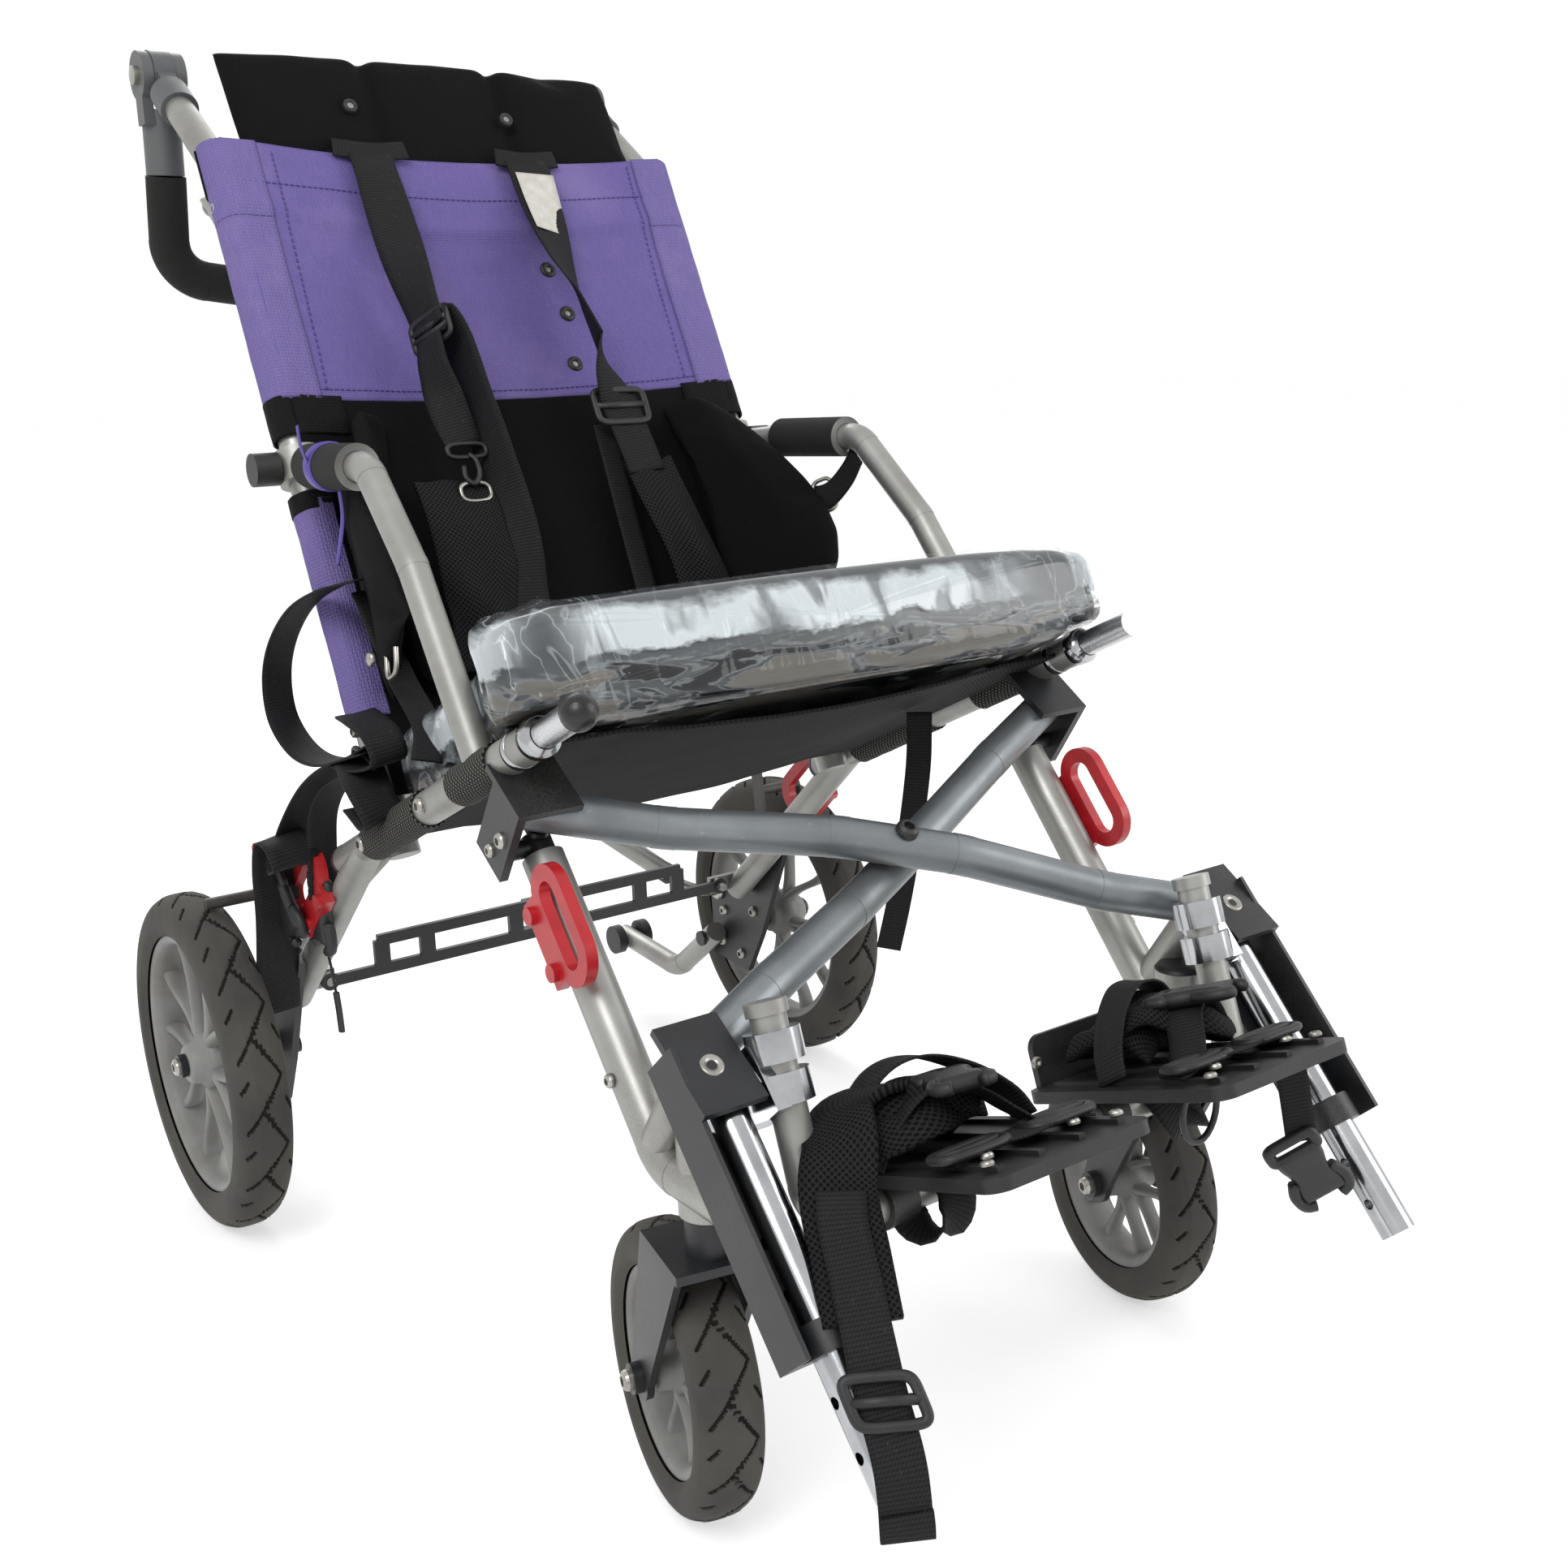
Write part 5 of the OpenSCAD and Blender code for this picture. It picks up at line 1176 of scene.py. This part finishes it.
# ---- footplates: straps, pads and buckles
FOOT_UP, FOOT_BACK = 0.0224, 0.040
FOOT = jp("left_footplate_flip")
PN, PF = Vector((0, S(TOE), C(TOE))), Vector((0, -C(TOE), S(TOE)))
HEEL = Vector((0, FOOT.y, FOOT.z)) + PN * FOOT_UP - PF * FOOT_BACK


def plate(x, d, h):
    """Place over a footplate: x across, d forward from the heel wall, h above the tread, in mm."""
    return HEEL + XA * (x / 1000) + PF * (d / 1000) + PN * (h / 1000)


for side, s in SIDES:
    def pl(*pts):
        return [plate(s * x, d, h) for x, d, h in pts]

    body = f"{side}_footplate"
    sd = 40.0 if s < 0 else 60.0
    roll(f"{side}_ankle_pad", pl((140, 22, 26), (112, 44, 34), (84, 40, 30), (54, 52, 24)), 66, sd, body, 0.022)
    roll(f"{side}_ankle_wrap", pl((144, 54, 16), (120, 72, 26), (94, 62, 40), (70, 82, 30)), 50, sd + 3, body, 0.014)
    laid = {"held": "laid", "wave": 0.003}
    for k, (part, wide, across, how, route) in enumerate((
            ("ankle_strap_a", 26, PF, laid, ((148, 20, 3), (140, 30, 26), (118, 40, 50), (92, 46, 54), (66, 56, 42),
                                             (46, 66, 22), (38, 72, 3))),
            ("ankle_strap_b", 24, (PF + XA * 0.3 * s).normalized(), laid,
             ((146, 62, 3), (136, 70, 22), (116, 82, 38), (92, 92, 34), (76, 104, 18), (64, 112, 5))),
            ("toe_strap", 26, PF, {"held": "laid", "wave": 0.001},
             ((140, 118, 4), (118, 122, 9), (92, 126, 8), (64, 124, 9), (40, 120, 4))),
            ("under_strap", 26, XA, {}, ((120, 34, -9), (118, 48, -40), (104, 58, -44), (92, 58, -30), (90, 44, -9))))):
        strap(f"{side}_{part}", pl(*route), across, wide, body, seed=sd + k, **how)
    hard = clip(plate(s * 104, 96, 42), PF + XA * 0.4 * s, XA - PF * 0.4 * s, PN, 44, 30, 10)
    for x in (126, 60):
        hard += loop_ring(plate(s * x, 124, 9), XA, PF, 46, 22, 3.6, flat=0.8, corner=0.6, bars=(0.0,))
        hard.append(bolt(plate(s * x, 138, 4.5), PN, 4.0, 3.0))
    for x in (40, 138):
        hard += [bolt(plate(s * x, 152, 4.2), PN, 4.2, 2.6), bolt(plate(s * x, 0.4, 17), PF, 4.2, 2.6)]
    if s < 0:
        # the hanging end lies over the hanger tube: its pad is baked in place on no body, and its strap and buckle ride
        # the footrest
        hang = pl((104, 42, 40), (132, 46, 43), (154, 49, 37))
        over = places([(-172, -504, 296), (-185, -518, 276), (-194, -540, 250), (-205, -564, 226)])
        facing = unit(0.85, -0.5, 0)
        turns = [PF, PF, PF * 0.8 + facing * 0.2, PF * 0.4 + facing * 0.6, facing, facing, facing]
        o = ribbon("right_hang_pad", hang + over, turns, 0.044, M_MESH, t=0.006, wave=0.003, seed=71)
        tuple(hang[1])
        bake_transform(o)
        strap("right_hang_strap", places([(-187, -523, 281), (-194, -534, 266), (-201, -553, 245), (-211, -577, 222),
                                          (-217, -594, 202), (-220, -610, 178), (-221, -616, 158), (-221, -618, 134)]),
              facing, 28, "right_footrest", t=0.0022, seed=72)
        strap("right_hang_end", places([(-221.4, -618.4, 150), (-221.4, -619.6, 143), (-221, -619.4, 135)]), facing, 28,
              "right_footrest", t=0.003, seed=73)
        ring = loop_ring(P(-218, -598, 203), facing, (0, -0.62, -0.78), 38, 26, 3.2, flat=0.7, bars=(0.0,))
        hardware("right_hang_buckle", ring, "right_footrest")
    else:
        d0 = plate(146, 120, -8)
        strap("left_hang_strap", [d0, d0 + Vector((0.004, -0.004, -0.03)), d0 + Vector((0.010, -0.006, -0.062))],
              unit(0.8, -0.6, 0), 20, body, seed=74)
        hard += clip(d0 + Vector((0.018, -0.008, -0.086)), (0.55, -0.2, -0.8), (0.6, -0.5, 0.5), (-0.4, -0.8, 0),
                     44, 32, 10)
        ring = [plate(104, 96, -10) + Vector((0.016 * C(t) - 0.016, 0, -0.020 + 0.022 * S(t)))
                for t in np.linspace(0, TAU, 25)[:-1]]
        hard.append(sweep("cable_loop", ring, 0.0022, M_PLASTIC, closed=True, n=8))
    hardware(f"{side}_foot_buckles", hard, body)

# ---- screws, caps and studs, one piece for each body
PLATE_OUT, PLATE_IN, NUT_X = 0.2505, 0.2449, 0.3315
for side, s in SIDES:
    out = Vector((s, 0, 0))
    axle = jp(f"{side}_wheel_spin")
    h = [bolt(p, out, r, k) for p, r, k in (
        (seat(s * (RAIL_X + 12), 144, 0), 6.0, 4.0), (seat(s * (RAIL_X + 12), 20, 0), 6.0, 4.0),
        (back(s * (POST_X + 12.2), 0, 535), 5.5, 4.0), (back(s * (POST_X + 12.2), 0, 90), 5.0, 4.0),
        (P(s * 246, -256, 434), 5.5, 3.6), (P(s * 246, -240, 424), 4.6, 3.2))]
    for dy, dz in ((-60, 84), (-22, 66), (20, 10), (24, -24), (-10, -30), (-34, 22)):
        y, z = axle.y + dy / 1000, axle.z + dz / 1000
        if dz < 20:
            h.append(bolt((s * PLATE_OUT, y, z), out, 5.0, 3.2))
        h.append(bolt((s * PLATE_IN, y, z), -out, 5.6, 4.2))
    # tube caps: rail end at the back, and the drawn ferrules on the stub
    rail = s * RAIL_X
    h += [lathe(name, profile, seat(rail, a, 0), axis, mat, 36) for name, profile, a, axis, mat in (
        ("rail_cap", [(-3, 12.9), (0.4, 12.9), (2.2, 11.4), (2.6, 0.02)], -52, -RD, M_PLASTIC),
        ("ferrule", [(0, 12.6), (0.5, 13.6), (9, 13.6), (10, 12.4), (14, 10.0)], 312, RD, M_CHROME),
        ("collar", [(0, 12.6), (0.4, 13.2), (6, 13.2), (6.4, 12.6)], 286, RD, M_CHROME))]
    hardware(f"{side}_side_screws", h, f"{side}_side")

    leg, up = Vector((s * 0.2285, P(0, -386.3, 0).y, 0.252)), Vector((0, C(LEG), S(LEG)))
    stem = jp(f"{side}_caster_swivel")
    h = [bolt(leg + up * t, out, 4.6, 3.4) for t in (0.060, 0.176)]
    h.append(lathe("stem_cap", [(-2, 17.4), (0.6, 17.2), (3.2, 15.4), (4.6, 10), (5.0, 0.02)], (stem.x, stem.y, 0.2858),
                   (0, 0, 1), M_PLASTIC, 36))
    h.append(lathe("leg_cap", [(-2, 13.6), (0.6, 13.4), (3.0, 11.0), (3.4, 0.02)], P(s * 214, -475.2, 252), (0, -1, 0),
                   M_PLASTIC))
    h.append(lathe("lid_screw", [(-1, 7.6), (0.5, 7.4), (0.9, 6.4), (0.3, 3.4), (-0.6, 2.8), (-0.7, 0.02)],
                   (s * 0.2214, -0.363, 0.3412), CROSS_AXIS, M_STEEL, 28))
    hardware(f"{side}_front_screws", h, f"{side}_front")
    spin, turn = jp(f"{side}_caster_spin"), Vector(JOINT[f"{side}_caster_spin"]["axis"]).normalized()
    hardware(f"{side}_caster_nuts", [bolt(spin + turn * (k * 0.0358), turn * k, 7.0, 6.0) for k in (-1, 1)],
             f"{side}_caster")
    hardware(f"{side}_axle_nut", [bolt((s * NUT_X, axle.y, axle.z), out, 7.5, 5.0)], f"{side}_side")

    # stud that carries the crossing back brace's foot, from the axle plate's inner face
    foot = Vector((s * 0.1999, 0.3609 if s > 0 else 0.3829, 0.1959))
    stud = [(s * 0.2450, 0.336, 0.176), (s * 0.222, 0.338, 0.180), (s * 0.205, 0.350, 0.188),
            (s * 0.202, foot.y, 0.197), foot + Vector((-s * 0.006, 0.001, 0.006))]
    h = [sweep("stud", curve_pts(stud, 0.002), 0.0058, M_STEEL, n=14),
         bolt((s * 0.2440, 0.336, 0.176), -out, 10.0, 5.0)]
    hardware(f"{side}_brace_stud", h, f"{side}_side")
    other = "right" if s > 0 else "left"
    cap = lathe("brace_foot_cap", [(-9, 10.0), (-8.6, 10.6), (0.6, 10.6), (2.4, 9.0), (2.8, 0.02)], foot,
                unit(s * 113, 0, -92), M_PLASTIC, 28)
    hardware(f"{other}_brace_cap", [cap], f"{other}_brace")

hardware("cross_bolt_head", [bolt(jp("cross_centre") + CROSS_AXIS * 0.0286, CROSS_AXIS, 8.0, 6.0, M_BLACK)], "cross_a")
